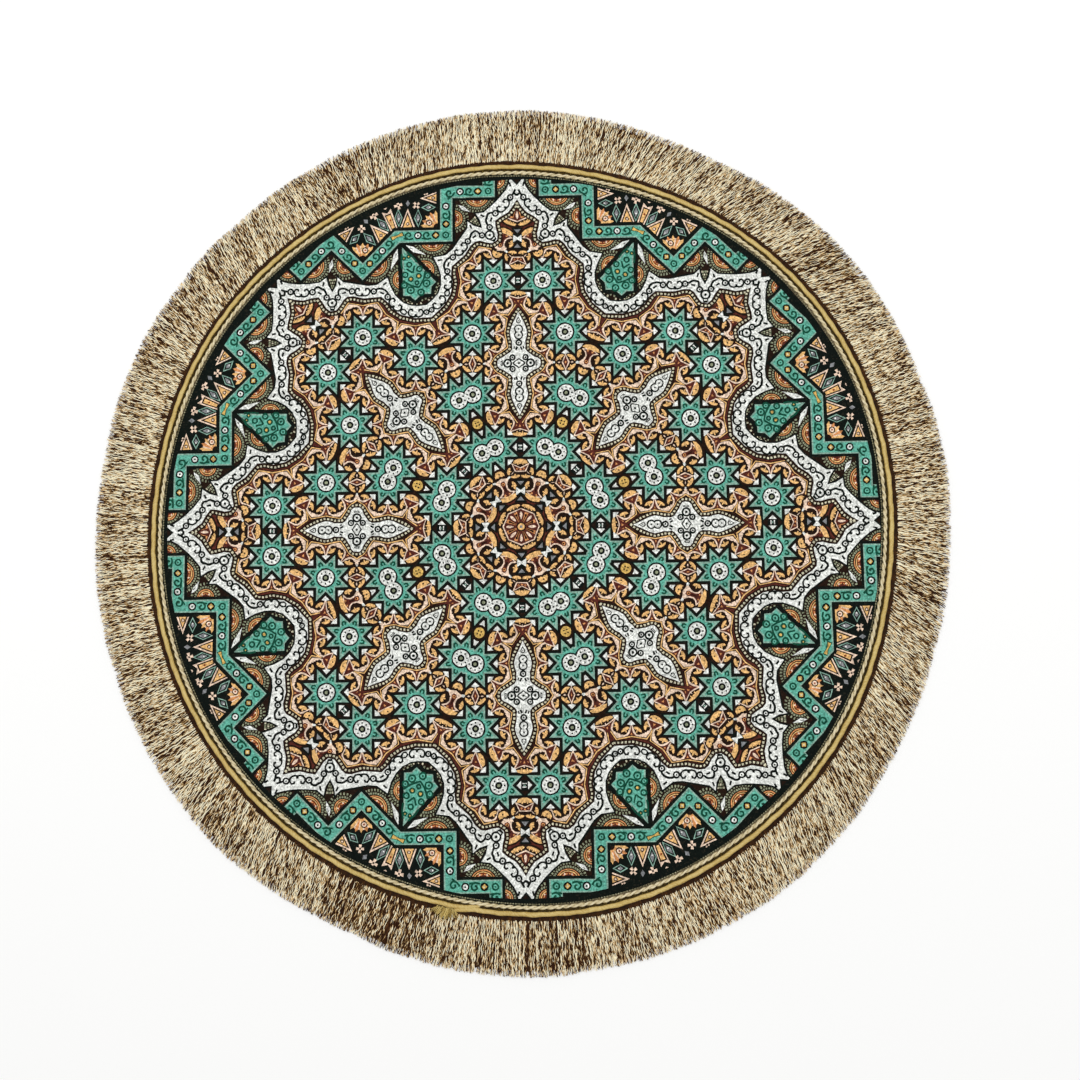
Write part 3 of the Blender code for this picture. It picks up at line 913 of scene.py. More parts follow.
def drawCore():
    drawMiddle(False)
    drawMiddle(True)
    drawMask(False)
    drawMask(True)
    drawKeyhole(*polar(93.6, sixteenth), sixteenth)
    kx, ky = polar(93.6, sixteenth)
    drawKeyhole(kx, 2 * cartoucheAt - ky, 157.5)
    for y in (108, 786):
        lay(9, "bark", put(block(46, -36, 46, 36), 0, y))
    # gold beads between the double stars
    x, y = polar(304, sixteenth)
    lay(57, "bark", disc(x, y, 18, 14))
    lay(58, "gold", disc(x, y, 14.2, 14))
    for a in range(0, 360, 90):
        lay(59, "bark", put(disc(0, 5.8, 2.5, 6), x, y, a + 67.5))


def spread(shape):
    # signed area of an outline
    return sum(a[0] * b[1] - b[0] * a[1] for a, b in zip(shape, shape[1:] + shape[:1])) / 2


def drawAll():
    pieces.clear()
    lay(0, "wine", [(0, 0), (0, 1100), (460, 1100)])
    drawStars()
    drawCore()
    drawCartouche()
    drawOuter()
    drawBorder()
    drawFan()
    drawZigzag()
    # a thin dark ring at the cloth's edge, painted shade where the cord meets the cloth
    lay(95, "ink", [polar(966, a) for a in range(-1, 25, 2)] + [polar(1000, a) for a in range(23, -2, -2)])
    wedge = []
    c, s = math.cos(math.radians(sixteenth)), math.sin(math.radians(sixteenth))
    for n, (layer, yarn, shape) in sorted(enumerate(pieces), key=lambda p: (p[1][0], p[0])):
        shape = cut(shape, 0, 0, 1, 0)
        if len(shape) > 2:
            shape = cut(shape, 0, 0, -c, s)
        if len(shape) > 2 and abs(spread(shape)) > 0.4:
            wedge.append((yarn, shape))
    return wedge


# woven cloth
cloth = {
    "edge": 985, "weave": 0.0011, "weaveDepth": 0.35, "fleck": 0.30, "jitter": 0.35,
    "knot": 0.0015, "knotShade": 0.32, "gap": 0.60, "warp": (44, 38, 28),
    "backing": (150, 132, 104), "backingInShade": (112, 96, 74),
}


def weaveHeight(tree, pitch):
    # warp and weft threads as two crossing ripples
    where = addNode(tree, "ShaderNodeTexCoord").outputs["Object"]
    turns = math.pi / pitch
    split = addNode(tree, "ShaderNodeSeparateXYZ", {0: where})
    ripples = []
    for k in range(2):
        run = addValues(tree, split.outputs[k], turns, "MULTIPLY")
        ripples.append(addNode(tree, "ShaderNodeMath", {0: run}, operation="SINE").outputs[0])
    return where, addValues(tree, ripples[0], ripples[1], "MULTIPLY")


def makeClothMaterial():
    mat, tree, surface = startMaterial("woven_pattern", 0.9, 0.04, 0.10)
    where, both = weaveHeight(tree, cloth["weave"])
    dye = addNode(tree, "ShaderNodeVertexColor", layer_name="yarnColour").outputs["Color"]
    # every knot takes the dye a little differently
    knot = addNode(tree, "ShaderNodeVectorMath", {0: where, 1: (cloth["knot"], cloth["knot"], 1.0)},
                   operation="SNAP").outputs[0]
    single = addNode(tree, "ShaderNodeTexWhiteNoise", {"Vector": knot}).outputs["Value"]
    fleck = fineNoise(tree, where, 400.0, 3.0)
    cloud = fineNoise(tree, where, 9.0, 3.0)
    shade = addValues(tree, remap(tree, fleck, 0.32, 0.68, 1 - cloth["fleck"], 1 + cloth["fleck"]),
                      remap(tree, single, 0.0, 1.0, 1 - cloth["knotShade"], 1 + cloth["knotShade"]),
                      "MULTIPLY")
    shade = addValues(tree, shade, remap(tree, cloud, 0.3, 0.7, 0.95, 1.05), "MULTIPLY")
    # painted light: the weave's raised threads are a little lighter than its hollows
    shade = addValues(tree, shade, remap(tree, both, -1.0, 1.0, 0.94, 1.06), "MULTIPLY")
    # worn knots show the dark warp between them
    gap = remap(tree, single, 0.84, 1.0, 0.0, cloth["gap"])
    colour = tint(tree, dye, shade)
    mixed = addNode(tree, "ShaderNodeMix", {"Factor": gap, 6: colour, 7: srgb(*cloth["warp"])},
                    data_type="RGBA").outputs[2]
    tree.links.new(mixed, surface.inputs["Base Color"])
    tree.links.new(remap(tree, fleck, 0.2, 0.8, 0.82, 0.98), surface.inputs["Roughness"])
    bump = addNode(tree, "ShaderNodeBump", {"Strength": cloth["weaveDepth"], "Distance": 0.0004,
                                            "Height": addValues(tree, remap(tree, both, -1, 1, 0, 0.7),
                                                                fleck)})
    tree.links.new(bump.outputs[0], surface.inputs["Normal"])
    return mat


def makeBackingMaterial():
    mat, tree, surface = startMaterial("woven_backing", 0.9, 0.1, 0.15)
    where, both = weaveHeight(tree, 0.0016)
    fleck = fineNoise(tree, where, 500.0, 3.0)
    # painted light and shade: the raised threads take the lighter backing colour and the hollows a shaded
    # copy of it
    colour = addNode(tree, "ShaderNodeMix", {"Factor": addValues(tree, remap(tree, both, -1, 1, 0.15, 0.75),
            remap(tree, fleck, 0.3, 0.7, 0.6, 1.3), "MULTIPLY"),
                                             6: srgb(*cloth["backingInShade"]), 7: srgb(*cloth["backing"])},
                                             data_type="RGBA").outputs[2]
    tree.links.new(colour, surface.inputs["Base Color"])
    tree.links.new(remap(tree, fleck, 0.2, 0.8, 0.82, 0.98), surface.inputs["Roughness"])
    bump = addNode(tree, "ShaderNodeBump", {"Strength": 0.5, "Distance": 0.0005,
            "Height": remap(tree, both, -1, 1, 0, 1)})
    tree.links.new(bump.outputs[0], surface.inputs["Normal"])
    return mat


def weavePattern():
    # one wedge is cut into its coloured cells, then turned and mirrored all round
    shapes = [("bark", [(0, 0)] + [polar(cloth["edge"], sixteenth * i / 24) for i in range(25)])] + drawAll()
    flat, cells = [], []
    for yarn, shape in shapes:
        first = len(flat)
        flat.extend(Vector(p) for p in (shape if spread(shape) > 0 else shape[::-1]))
        cells.append(list(range(first, len(flat))))
    points, _, tris, _, _, origins = delaunay_2d_cdt(flat, [], cells, 1, 0.001, True)
    names = list(yarns)
    bm = bmesh.new()
    corners = [bm.verts.new((p.x, p.y, 0)) for p in points]
    for tri, origin in zip(tris, origins):
        if 0 in origin:
            bm.faces.new([corners[i] for i in tri]).material_index = names.index(shapes[max(origin)][0])
    bm.normal_update()
    bmesh.ops.dissolve_limit(bm, angle_limit=math.radians(3), use_dissolve_boundaries=False,
            verts=bm.verts[:], edges=bm.edges[:],
                             delimit={"MATERIAL"})
    bmesh.ops.triangulate(bm, faces=bm.faces[:])
    bmesh.ops.delete(bm, geom=[v for v in bm.verts if not v.link_faces], context="VERTS")
    bm.verts.index_update()
    wedgePoints = np.array([(v.co.x, v.co.y) for v in bm.verts])
    wedgeTris = np.array([[v.index for v in f.verts] for f in bm.faces])
    wedgeYarn = np.array([f.material_index for f in bm.faces])
    bm.free()
    print("pattern wedge:", len(wedgeTris), "cells")
    radius = np.hypot(wedgePoints[:, 0], wedgePoints[:, 1])
    angle = np.degrees(np.arctan2(wedgePoints[:, 0], wedgePoints[:, 1]))
    verts, faces, dyes = [], [], []
    for n in range(8):
        for mirrored in (False, True):
            turned = 45 * n + (-angle if mirrored else angle)
            first = sum(len(v) for v in verts)
            verts.append(placeAll(radius * layout["unit"], turned, layout["clothTop"]))
            faces.append((wedgeTris if mirrored else wedgeTris[:, ::-1]) + first)
            dyes.append(wedgeYarn)
    return np.concatenate(verts), np.concatenate(faces), np.concatenate(dyes)


def makeCloth():
    verts, faces, dyes = weavePattern()
    obj = newPiece("woven_cloth", verts.tolist(), faces.tolist(), makeClothMaterial(), smooth=False)
    mesh = obj.data
    card = np.array([srgb(*c) for c in yarns.values()], dtype=np.float32)
    colours = mesh.color_attributes.new("yarnColour", "FLOAT_COLOR", "CORNER")
    colours.data.foreach_set("color", np.repeat(card[dyes], 3, axis=0).ravel())
    # sew the wedges together and make the edges of the colours a little uneven
    bm = bmesh.new()
    bm.from_mesh(mesh)
    bmesh.ops.remove_doubles(bm, verts=bm.verts[:], dist=0.00001)
    if bm.faces and sum(f.normal.z for f in bm.faces) < 0:
        bmesh.ops.reverse_faces(bm, faces=bm.faces[:])
    for v in bm.verts:
        if not v.is_boundary:
            v.co.x += random.gauss(0, 1) * cloth["jitter"] * layout["unit"]
            v.co.y += random.gauss(0, 1) * cloth["jitter"] * layout["unit"]
    bm.to_mesh(mesh)
    bm.free()
    flatMap(obj)
    declare(obj, "rug_ground")
    print("woven cloth:", len(mesh.polygons), "triangles")
    return obj


underside = {
    "steps": 180, "level": 0.0001, "inset": 0.0002, "tuck": 0.00005,
    "rim": ((0.0009, 0.0001), (0.0010, 0.0006)),    # beyond the groove, below the cloth's top
    "foot": ((0.0010, 0.0006), (0.0006, 0.0001)),   # beyond the groove, above the floor
    "shares": (0.9, 0.7, 0.5, 0.3, 0.12),           # of the groove's radius
}


def makeUnderside():
    # the cloth's back, its cut edge and the strip of it under the cords
    steps, top = underside["steps"], layout["clothTop"]
    rings = [(lambda a: cloth["edge"] * layout["unit"] - underside["inset"], top - underside["tuck"])]
    rings += [(lambda a, far=far: groove(a) + far, top - drop) for far, drop in underside["rim"]]
    rings += [(lambda a, far=far: groove(a) + far, rise) for far, rise in underside["foot"]]
    rings += [(lambda a, share=share: groove(a) * share, underside["level"]) for share in underside["shares"]]
    verts = [place(float(radius(a)), a, z) for radius,
             z in rings for a in [360 * k / steps for k in range(steps)]]
    faces = [(r * steps + k, r * steps + (k + 1) % steps, (r + 1) * steps + (k + 1) % steps,
              (r + 1) * steps + k)
             for r in range(len(rings) - 1) for k in range(steps)]
    verts.append(place(0, 0, underside["level"]))
    last = (len(rings) - 1) * steps
    faces += [(last + k, last + (k + 1) % steps, len(verts) - 1) for k in range(steps)]
    faces = [f[::-1] for f in faces]
    obj = newPiece("cloth_underside", verts, faces, makeBackingMaterial())
    flatMap(obj)
    declare(obj, "rug_ground")
    return obj


# sewn cords
trim = {
    # places are counted outward from the groove between the two cords; radius and course are
    # the mean radii that lengths along the cords are worked out at
    "radius": 0.43, "steps": 1801,
    "cord": {"at": -0.0035, "strand": 0.00138, "swing": 0.00100, "height": 0.0035, "stroke": 0.0090,
             "flat": 0.85, "rise": 0.8, "uneven": ((0.10, 41), (0.08, 97)), "tone": (0.38, 0.14, 0.38),
             "light": (242, 230, 196), "mid": (186, 168, 122), "dark": (52, 38, 16)},
    "whipping": {"at": -0.0071, "course": 0.42, "radius": 0.00085, "height": 0.0030, "pitch": 0.0027,
                 "wander": 0.0003, "sunk": 0.0004,
                 "light": (186, 184, 152), "mid": (112, 106, 76), "dark": (34, 30, 16)},
    "rib": {"at": 0.0037, "course": 0.435, "halfWidth": 0.0027, "bottom": 0.0025, "top": 0.0056,
            # at the lap each end goes so far aside, over so many degrees, so sharply
            "lapIn": (-0.0040, 4.2, 1.5), "lapOut": (0.0080, 5.0, 1.3), "steps": 2200, "wander": 0.00022,
            "light": (214, 192, 128), "mid": (182, 152, 80), "dark": (70, 48, 4)},
    # the web's dark olive colours are partly its own yarn and partly painted shade in the groove between cord
    # and rib
    "web": {"inner": -0.0022, "outer": 0.0022, "height": 0.0032, "light": (96, 78, 20), "mid": (60, 44, 8),
            "dark": (34, 24, 4)},
    "stitch": {"count": 420, "inner": (-0.0012, 0.0006), "outer": (0.0014, 0.0026), "lean": (0.05, 0.40),
               "halfWidth": 0.00035, "bow": 0.0006, "light": (160, 142, 70), "mid": (112, 94, 34),
               "dark": (60, 46, 10)},
    "heading": {"inner": 0.0030, "outer": 0.0128, "height": 0.0024, "light": (84, 50, 16),
                "mid": (52, 28, 6), "dark": (30, 14, 2)},
    "tail": {"threads": 84, "root": 0.0070, "reach": 0.0150, "halfWidth": 0.00055, "top": 0.0055,
             "fall": 0.0010,
             "light": (226, 204, 132), "mid": (176, 146, 70), "dark": (60, 40, 8)},
    "join": 190.0,
}


def yarnMaterial(name, dyes, roughness, sheen, streak, contrast=0.35):
    # the strand's tone, which on several pieces carries painted light and shade, broken up by fibre flecks
    # that run along and across it
    mat, tree, surface = startMaterial(name, roughness, sheen, 0.2)
    lay = addNode(tree, "ShaderNodeSeparateXYZ", {0: addNode(tree, "ShaderNodeAttribute",
            attribute_name="lay").outputs["Vector"]})
    tone, along, across = lay.outputs
    lengthwise = addValues(tree, addValues(tree, along, streak[0], "MULTIPLY"),
                           addValues(tree, across, streak[2], "MULTIPLY"))
    run = addNode(tree, "ShaderNodeCombineXYZ", {0: lengthwise,
            1: addValues(tree, across, streak[1], "MULTIPLY")}).outputs[0]
    fibre = fineNoise(tree, run, 1.0, 2.0)
    where = addNode(tree, "ShaderNodeTexCoord").outputs["Object"]
    fleck = fineNoise(tree, where, 1300.0, 2.0)
    pos = addValues(tree, tone, remap(tree, fibre, 0.25, 0.75, -contrast, contrast))
    pos = addValues(tree, pos, remap(tree, fleck, 0.3, 0.7, -0.10, 0.10))
    ramp = addNode(tree, "ShaderNodeValToRGB", {0: pos})
    band = ramp.color_ramp
    band.elements[0].position, band.elements[0].color = 0.0, srgb(*dyes["dark"])
    band.elements[1].position, band.elements[1].color = 1.0, srgb(*dyes["light"])
    middle = band.elements.new(0.5)
    middle.color = srgb(*dyes["mid"])
    tree.links.new(ramp.outputs["Color"], surface.inputs["Base Color"])
    tree.links.new(remap(tree, fibre, 0.2, 0.8, roughness - 0.08, roughness + 0.1),
                   surface.inputs["Roughness"])
    bump = addNode(tree, "ShaderNodeBump", {"Strength": 0.4, "Distance": 0.0003, "Height": fibre})
    tree.links.new(bump.outputs[0], surface.inputs["Normal"])
    return mat


def setLay(obj, tones, along=0.0, across=0.0):
    # tone, metres along the strand and place across it, kept on the points
    layer = obj.data.color_attributes.new("lay", "FLOAT_COLOR", "POINT")
    flat = np.ones((len(obj.data.vertices), 4), dtype=np.float32)
    flat[:, 0] = tones
    flat[:, 1] = along
    flat[:, 2] = across
    layer.data.foreach_set("color", flat.ravel())


def ellipse(halfWidth, halfHeight, sides):
    turns = [2 * math.pi * k / sides for k in range(sides)]
    return np.array([(halfWidth * math.cos(t), halfHeight * math.sin(t)) for t in turns][::-1])


def tube(angles, radii, heights, out, up):
    # rings of points set along a course; out and up hold each ring's shape
    count, sides = len(angles), out.shape[-1]
    verts = placeAll(radii[:, None] + out, np.repeat(angles[:, None], sides, 1),
                     heights[:, None] + up).reshape(-1, 3)
    k = np.arange(count - 1)[:, None] * sides
    j = np.arange(sides)[None, :]
    a, b = k + j, k + (j + 1) % sides
    return verts, np.stack([a, b, b + sides, a + sides], axis=-1).reshape(-1, 4)


def makeCords():
    spec = trim["cord"]
    steps = trim["steps"]
    angles = np.linspace(0, 360, steps)
    turns = round(math.pi * trim["radius"] / spec["stroke"])
    shape = ellipse(spec["strand"], spec["strand"] * spec["flat"], 8)
    uneven = 1
    for more, waves in spec["uneven"]:
        uneven = uneven + more * np.sin(np.radians(angles) * waves)
    plain, turned, paintedTopLight = spec["tone"]
    verts, faces, tones = [], [], []
    for strand in range(2):
        # the two strands turn round each other
        phase = -np.radians(angles) * turns + math.pi * strand
        radii = groove(angles) + spec["at"] + spec["swing"] * np.cos(phase)
        heights = spec["height"] + spec["swing"] * spec["rise"] * np.sin(phase)
        v, f = tube(angles, radii, heights, shape[None, :, 0] * uneven[:, None],
                    shape[None, :, 1] * uneven[:, None])
        faces.append(f + sum(len(x) for x in verts))
        verts.append(v)
        # painted light: each strand's top is lighter, and the turn that rides higher is lighter too
        up = shape[:, 1] / spec["strand"]
        tones.append((plain + turned * np.sin(phase)[:, None] + paintedTopLight * up[None, :]).ravel())
    cord = newPiece("edge_cord_twist", np.concatenate(verts).tolist(), np.concatenate(faces).tolist(),
                    yarnMaterial("pale_cord", spec, 0.65, 0.05, (420, 1.4, 2.5), 0.45))
    setLay(cord, np.concatenate(tones), np.tile(np.repeat(np.radians(angles) * trim["radius"], len(shape)),
            2), np.tile(shape[:, 0] / spec["strand"], 2 * steps))
    declare(cord, "edge_cord")
    # a thin row of whipping stitches inside it
    spec = trim["whipping"]
    beads = 0.5 + 0.5 * np.cos(np.radians(angles) * round(2 * math.pi * spec["course"] / spec["pitch"]))
    faint = 0.5 + 0.5 * np.sin(np.radians(angles) * 31 + 3 * np.sin(np.radians(angles) * 7))
    size = spec["radius"] * (0.55 + 0.45 * beads)
    shape = ellipse(1.0, 1.0, 6)
    verts, faces = tube(angles, groove(angles) + spec["at"] + spec["wander"] * faint,
                        np.full(steps, spec["height"] - spec["sunk"]),
                        size[:, None] * shape[None, :, 0], size[:, None] * shape[None, :, 1])
    row = newPiece("edge_whipping", verts.tolist(), faces.tolist(),
                   yarnMaterial("edge_whipping", spec, 0.75, 0.1, (600, 1.0, 1.0), 0.30))
    setLay(row, np.repeat(0.10 + 0.85 * beads - 0.25 * faint, 6),
           np.repeat(np.radians(angles) * spec["course"], 6))
    declare(row, "edge_cord")


def fade(aside, reach, power, away):
    return aside * np.clip(1 - away / reach, 0, 1) ** power


def makeBraid():
    # the rib's two ends pass each other where it was joined
    spec = trim["rib"]
    join = trim["join"]
    steps = spec["steps"]
    angles = np.linspace(join - 3.0, join + 362.8, steps)
    fromStart, toEnd = angles - angles[0], angles[-1] - angles
    inward, outward = fade(*spec["lapIn"], fromStart), fade(*spec["lapOut"], toEnd)
    size = np.clip(0.45 + fromStart / 3.0, 0, 1) * np.clip(0.35 + toEnd / 3.2, 0, 1)
    sides = 12
    half = (spec["top"] - spec["bottom"]) / 2
    shape = ellipse(spec["halfWidth"], half, sides)
    wander = spec["wander"] * np.sin(np.radians(angles) * 61)
    wander = wander + spec["wander"] * np.sin(np.radians(angles) * 143 + 1)
    size = size * (1 + 0.06 * np.sin(np.radians(angles) * 83))
    verts, faces = tube(angles, groove(angles) + spec["at"] + inward + outward + wander,
                        spec["bottom"] + half * size,
                        size[:, None] * shape[None, :, 0], size[:, None] * shape[None, :, 1])
    faces = faces.tolist() + [tuple(range(sides))[::-1], tuple(range((steps - 1) * sides, steps * sides))]
    rib = newPiece("braid_rib", verts.tolist(), faces, yarnMaterial("satin_braid", spec, 0.5, 0.15,
            (520, 1.1, 1.4), 0.26))
    # painted light and shade: the rib's top is lighter and its outer side darker
    up, side = shape[:, 1] / half, shape[:, 0] / spec["halfWidth"]
    across = 0.06 + 0.74 * up - 0.12 * side
    slow = 0.07 * np.sin(np.radians(angles) * 47 + 2 * np.sin(np.radians(angles) * 5))
    dull = -0.15 * np.clip(1 - toEnd / 5.0, 0, 1)
    setLay(rib, (across[None, :] + (slow + dull)[:, None]).ravel(),
           np.repeat(np.radians(angles) * spec["course"], sides), np.tile(side, steps))
    declare(rib, "gold_braid")


def ringFaces(steps, rows):
    return [(k * rows + j, (k + 1) % steps * rows + j, (k + 1) % steps * rows + j + 1, k * rows + j + 1)
            for k in range(steps) for j in range(rows - 1)]


def flatRing(name, inner, outer, height, material, drop=0.0):
    steps = 1080
    angles = np.linspace(0, 360, steps, endpoint=False)
    rows = [inner(angles), (inner(angles) + outer(angles)) / 2, outer(angles)]
    levels = [height - drop, height, height - drop]
    verts = np.stack([placeAll(r, angles, z) for r, z in zip(rows, levels)], axis=1).reshape(-1, 3)
    obj = newPiece(name, verts.tolist(), ringFaces(steps, 3), material)
    setLay(obj, rng.uniform(0.1, 0.7, len(verts)), np.repeat(np.radians(angles) * trim["radius"], 3),
           np.tile([-1.0, 0.0, 1.0], steps))
    return obj


def strandFaces(start, count):
    # three points a station: left edge, ridge, right edge
    corners = [start + k * 3 + j for k in range(count - 1) for j in range(2)]
    return [(a, a + 1, a + 4, a + 3) for a in corners]


def makeWebAndHeading():
    spec = trim["web"]
    # the web is dark: partly its own olive yarn, partly painted shade of the groove
    web = flatRing("braid_web", lambda a: groove(a) + spec["inner"], lambda a: groove(a) + spec["outer"],
                   spec["height"],
                   yarnMaterial("braid_web", spec, 0.85, 0.0, (420, 1.2, 1.0), 0.35))
    declare(web, "gold_braid")
    # loose slanted stitches across the groove
    spec = trim["stitch"]
    verts, faces, tones = [], [], []
    for n in range(spec["count"]):
        a = 360 * n / spec["count"] + random.uniform(-0.4, 0.4)
        g = float(groove(a))
        inner, outer = g + random.uniform(*spec["inner"]), g + random.uniform(*spec["outer"])
        lean = random.uniform(*spec["lean"])
        faces += strandFaces(len(verts), 4)
        shade = random.uniform(0.0, 0.9)
        for k in range(4):
            share = k / 3
            r, at = inner + (outer - inner) * share, a + lean * share
            z = trim["web"]["height"] + 0.0001 + spec["bow"] * math.sin(math.pi * share)
            da = math.degrees(spec["halfWidth"] / r)
            verts += [place(r, at - da, z - 0.0002), place(r, at, z + 0.0002), place(r, at + da, z - 0.0002)]
            # painted shade: each stitch is darker along its two lower edges
            tones += [shade - 0.3, shade, shade - 0.3]
    stitches = newPiece("groove_stitches", verts, faces,
                        yarnMaterial("groove_stitching", spec, 0.6, 0.1, (0, 0, 0), 0.1))
    setLay(stitches, tones)
    declare(stitches, "gold_braid")
    spec = trim["heading"]
    heading = flatRing("fringe_heading", lambda a: groove(a) + spec["inner"],
                       lambda a: groove(a) + spec["outer"], spec["height"],
                       yarnMaterial("fringe_heading", spec, 0.9, 0.0, (700, 1.0, 0.6), 0.35), drop=0.0006)
    declare(heading, "fringe")


def makeTail():
    # short frayed threads where the rib's end is tucked away
    spec = trim["tail"]
    join = trim["join"]
    verts, faces, tones = [], [], []
    for n in range(spec["threads"]):
        share = n / (spec["threads"] - 1)
        start, end = join + 0.6 + 2.7 * share, join + 0.2 + 3.8 * share + random.uniform(-0.4, 0.4)
        inner = float(groove(start)) + spec["root"] + random.uniform(-0.001, 0.001)
        reach = spec["reach"] * (1 - 0.9 * abs(share - 0.45)) * random.uniform(0.5, 1.0)
        faces += strandFaces(len(verts), 6)
        shade = random.uniform(0.3, 1.2)
        for k in range(6):
            t = k / 5
            r, z = inner + reach * t, spec["top"] - spec["fall"] * t
            at = start + (end - start) * t + 0.10 * math.sin(5 * t + n)
            width = spec["halfWidth"] * (1 - 0.4 * t)
            da = math.degrees(width / r)
            verts += [place(r, at - da, z - 0.0002), place(r, at, z + width), place(r, at + da, z - 0.0002)]
            # painted shade: each thread is darker along its two lower edges
            tones += [shade - 0.5, shade, shade - 0.5]
    tail = newPiece("braid_tail", verts, faces, yarnMaterial("frayed_braid", spec, 0.6, 0.1, (0, 0, 0), 0.1))
    setLay(tail, tones)
    declare(tail, "gold_braid")


# fringe
fringe = {
    "layers": [   # strands all round, lowest height, tone, half width; the lower rows' darker tone is painted shade under the rows above
        (1800, 0.0006, 0.45, 0.00060), (1800, 0.0011, 0.90, 0.00058), (1500, 0.0016, 1.20, 0.00055),
    ],
    "root": 0.0112, "shortest": 0.993, "flat": 0.45, "stations": 14, "wave": 0.0008, "waveLength": 0.0140,
    "curl": 0.0010, "clump": 0.12,
    "droop": 0.45, "ripple": 0.0004, "lift": 0.0006, "toneSpread": 0.38, "tipShade": 0.08,
    # spans that lean to one side: from, to, degrees
    "leans": [(15, 60, 22), (95, 145, 24), (210, 235, -18), (300, 325, 18), (327, 332, -14), (335, 350, 18)],
    # spans where the yarn is darker: from, to, how much
    "darkSpans": [(33, 36, 0.20), (44, 50, 0.20), (101, 104, 0.22), (121, 124, 0.22), (165, 168, 0.22),
                  (171, 180, 0.25),
                  (180, 187, 0.16), (194, 209, 0.42), (223, 227, 0.22), (300, 302, 0.22), (313, 315, 0.2),
                  (331, 336, 0.2)],
    "light": (255, 247, 216), "mid": (232, 188, 120), "dark": (54, 24, 2),
    "ragged": 0.002,   # how far rows of the yarn under the strands stray
    # a dark sheet under the strands: painted shade that shows in the gaps between them
    "shadeBed": {"root": 0.0095, "reach": 0.986, "light": (110, 70, 34), "mid": (64, 36, 12), "dark": (40, 20, 6)},
    "under": {"root": 0.0100, "reach": 0.984},
}


def spanSum(spans, angle, soft):
    # a value for each angle from a list of spans, fading at their ends
    total = np.zeros_like(angle)
    for start, end, amount in spans:
        middle, half = (start + end) / 2, (end - start) / 2
        away = np.abs((angle - middle + 180) % 360 - 180)
        total = total + amount * np.clip((half + soft - away) / (2 * soft), 0, 1)
    return total


clumps = np.clip(rng.normal(0, 1, 721) + np.repeat(rng.normal(0, 0.8, 103), 7), -2.5, 1.5)


def makeFringeArc(number, material):
    low = number * 45.0
    verts, faces, tones, lengths, names = [], [], [], [], []
    stations = fringe["stations"]
    done = 0
    for order, (strands, height, tone, width) in enumerate(fringe["layers"]):
        count = strands // 8
        root = low + (np.arange(count) + rng.uniform(0, 1, count)) * 45.0 / count
        darker = spanSum(fringe["darkSpans"], root + rng.normal(0, 1.0, count), 1.2)
        keep = rng.uniform(0, 1, count) > darker * (0.5 * order)
        root, darker = root[keep][:, None], darker[keep][:, None]
        count = len(root)
        share = np.linspace(0, 1, stations)[None, :]
        start = groove(root) + fringe["root"] + rng.uniform(-0.0004, 0.0008, (count, 1))
        end = tips(root) * rng.uniform(fringe["shortest"], 1.0, (count, 1))
        radius = start + (end - start) * share
        phase = rng.uniform(0, 2 * math.pi, (count, 1))
        waveLength = fringe["waveLength"] * rng.uniform(0.7, 1.4, (count, 1))
        swing = (radius - start) * 2 * math.pi / waveLength
        wave = fringe["wave"] * rng.uniform(0.5, 1.5, (count, 1)) * np.sin(swing + phase)
        curl = fringe["curl"] * rng.normal(0, 1, (count, 1)) * share ** 2
        lean = np.tan(np.radians(spanSum(fringe["leans"], root, 6.0))) * (radius - start)
        angle = root + np.degrees((wave * np.minimum(1, share * 6) + curl + lean) / radius)
        droop = np.clip(1 - fringe["droop"] * share ** 1.5, 0, 1)
        z = height * droop + fringe["ripple"] * np.sin(swing + phase * 2) + fringe["lift"]
        thick = width * rng.uniform(0.75, 1.25, (count, 1)) * (1 - 0.25 * share)
        # three-sided strands, with painted shade on the two lower edges where they turn under, which draws
        # dark gaps between the strands
        ring = []
        for k in range(3):
            turn = math.radians(90 + 120 * k)
            ring.append(placeAll(radius, angle + np.degrees(thick * math.cos(turn) / radius),
                                 np.maximum(z + thick * fringe["flat"] * math.sin(turn), 0.0002)))
        base = done + (np.arange(count)[:, None] * stations + np.arange(stations - 1)[None, :]) * 3
        for k in range(3):
            a, b = base + k, base + (k + 1) % 3
            faces.append(np.stack([a, b, b + 3, a + 3], axis=-1).reshape(-1, 4))
        tuft = fringe["clump"] * np.interp(root, np.linspace(0, 360, len(clumps)), clumps)
        shade = tone + rng.normal(0, fringe["toneSpread"],
                (count, 1)) - darker - fringe["tipShade"] * share + tuft
        tones.append(np.stack([shade, shade - 0.8, shade - 0.8], axis=2).ravel())
        lengths.append(np.repeat((radius - start).ravel(), 3))
        names.append(np.repeat(rng.uniform(0, 100, (count, 1)) + 0 * share, 3))
        verts.append(np.stack(ring, axis=2).reshape(-1, 3))
        done += len(verts[-1])
    obj = newPiece("fringe_arc_%d" % (number + 1), np.concatenate(verts).tolist(),
                   np.concatenate(faces).tolist(), material, smooth=False)
    setLay(obj, np.concatenate(tones), np.concatenate(lengths), np.concatenate(names))
    flatMap(obj)
    declare(obj, "fringe")


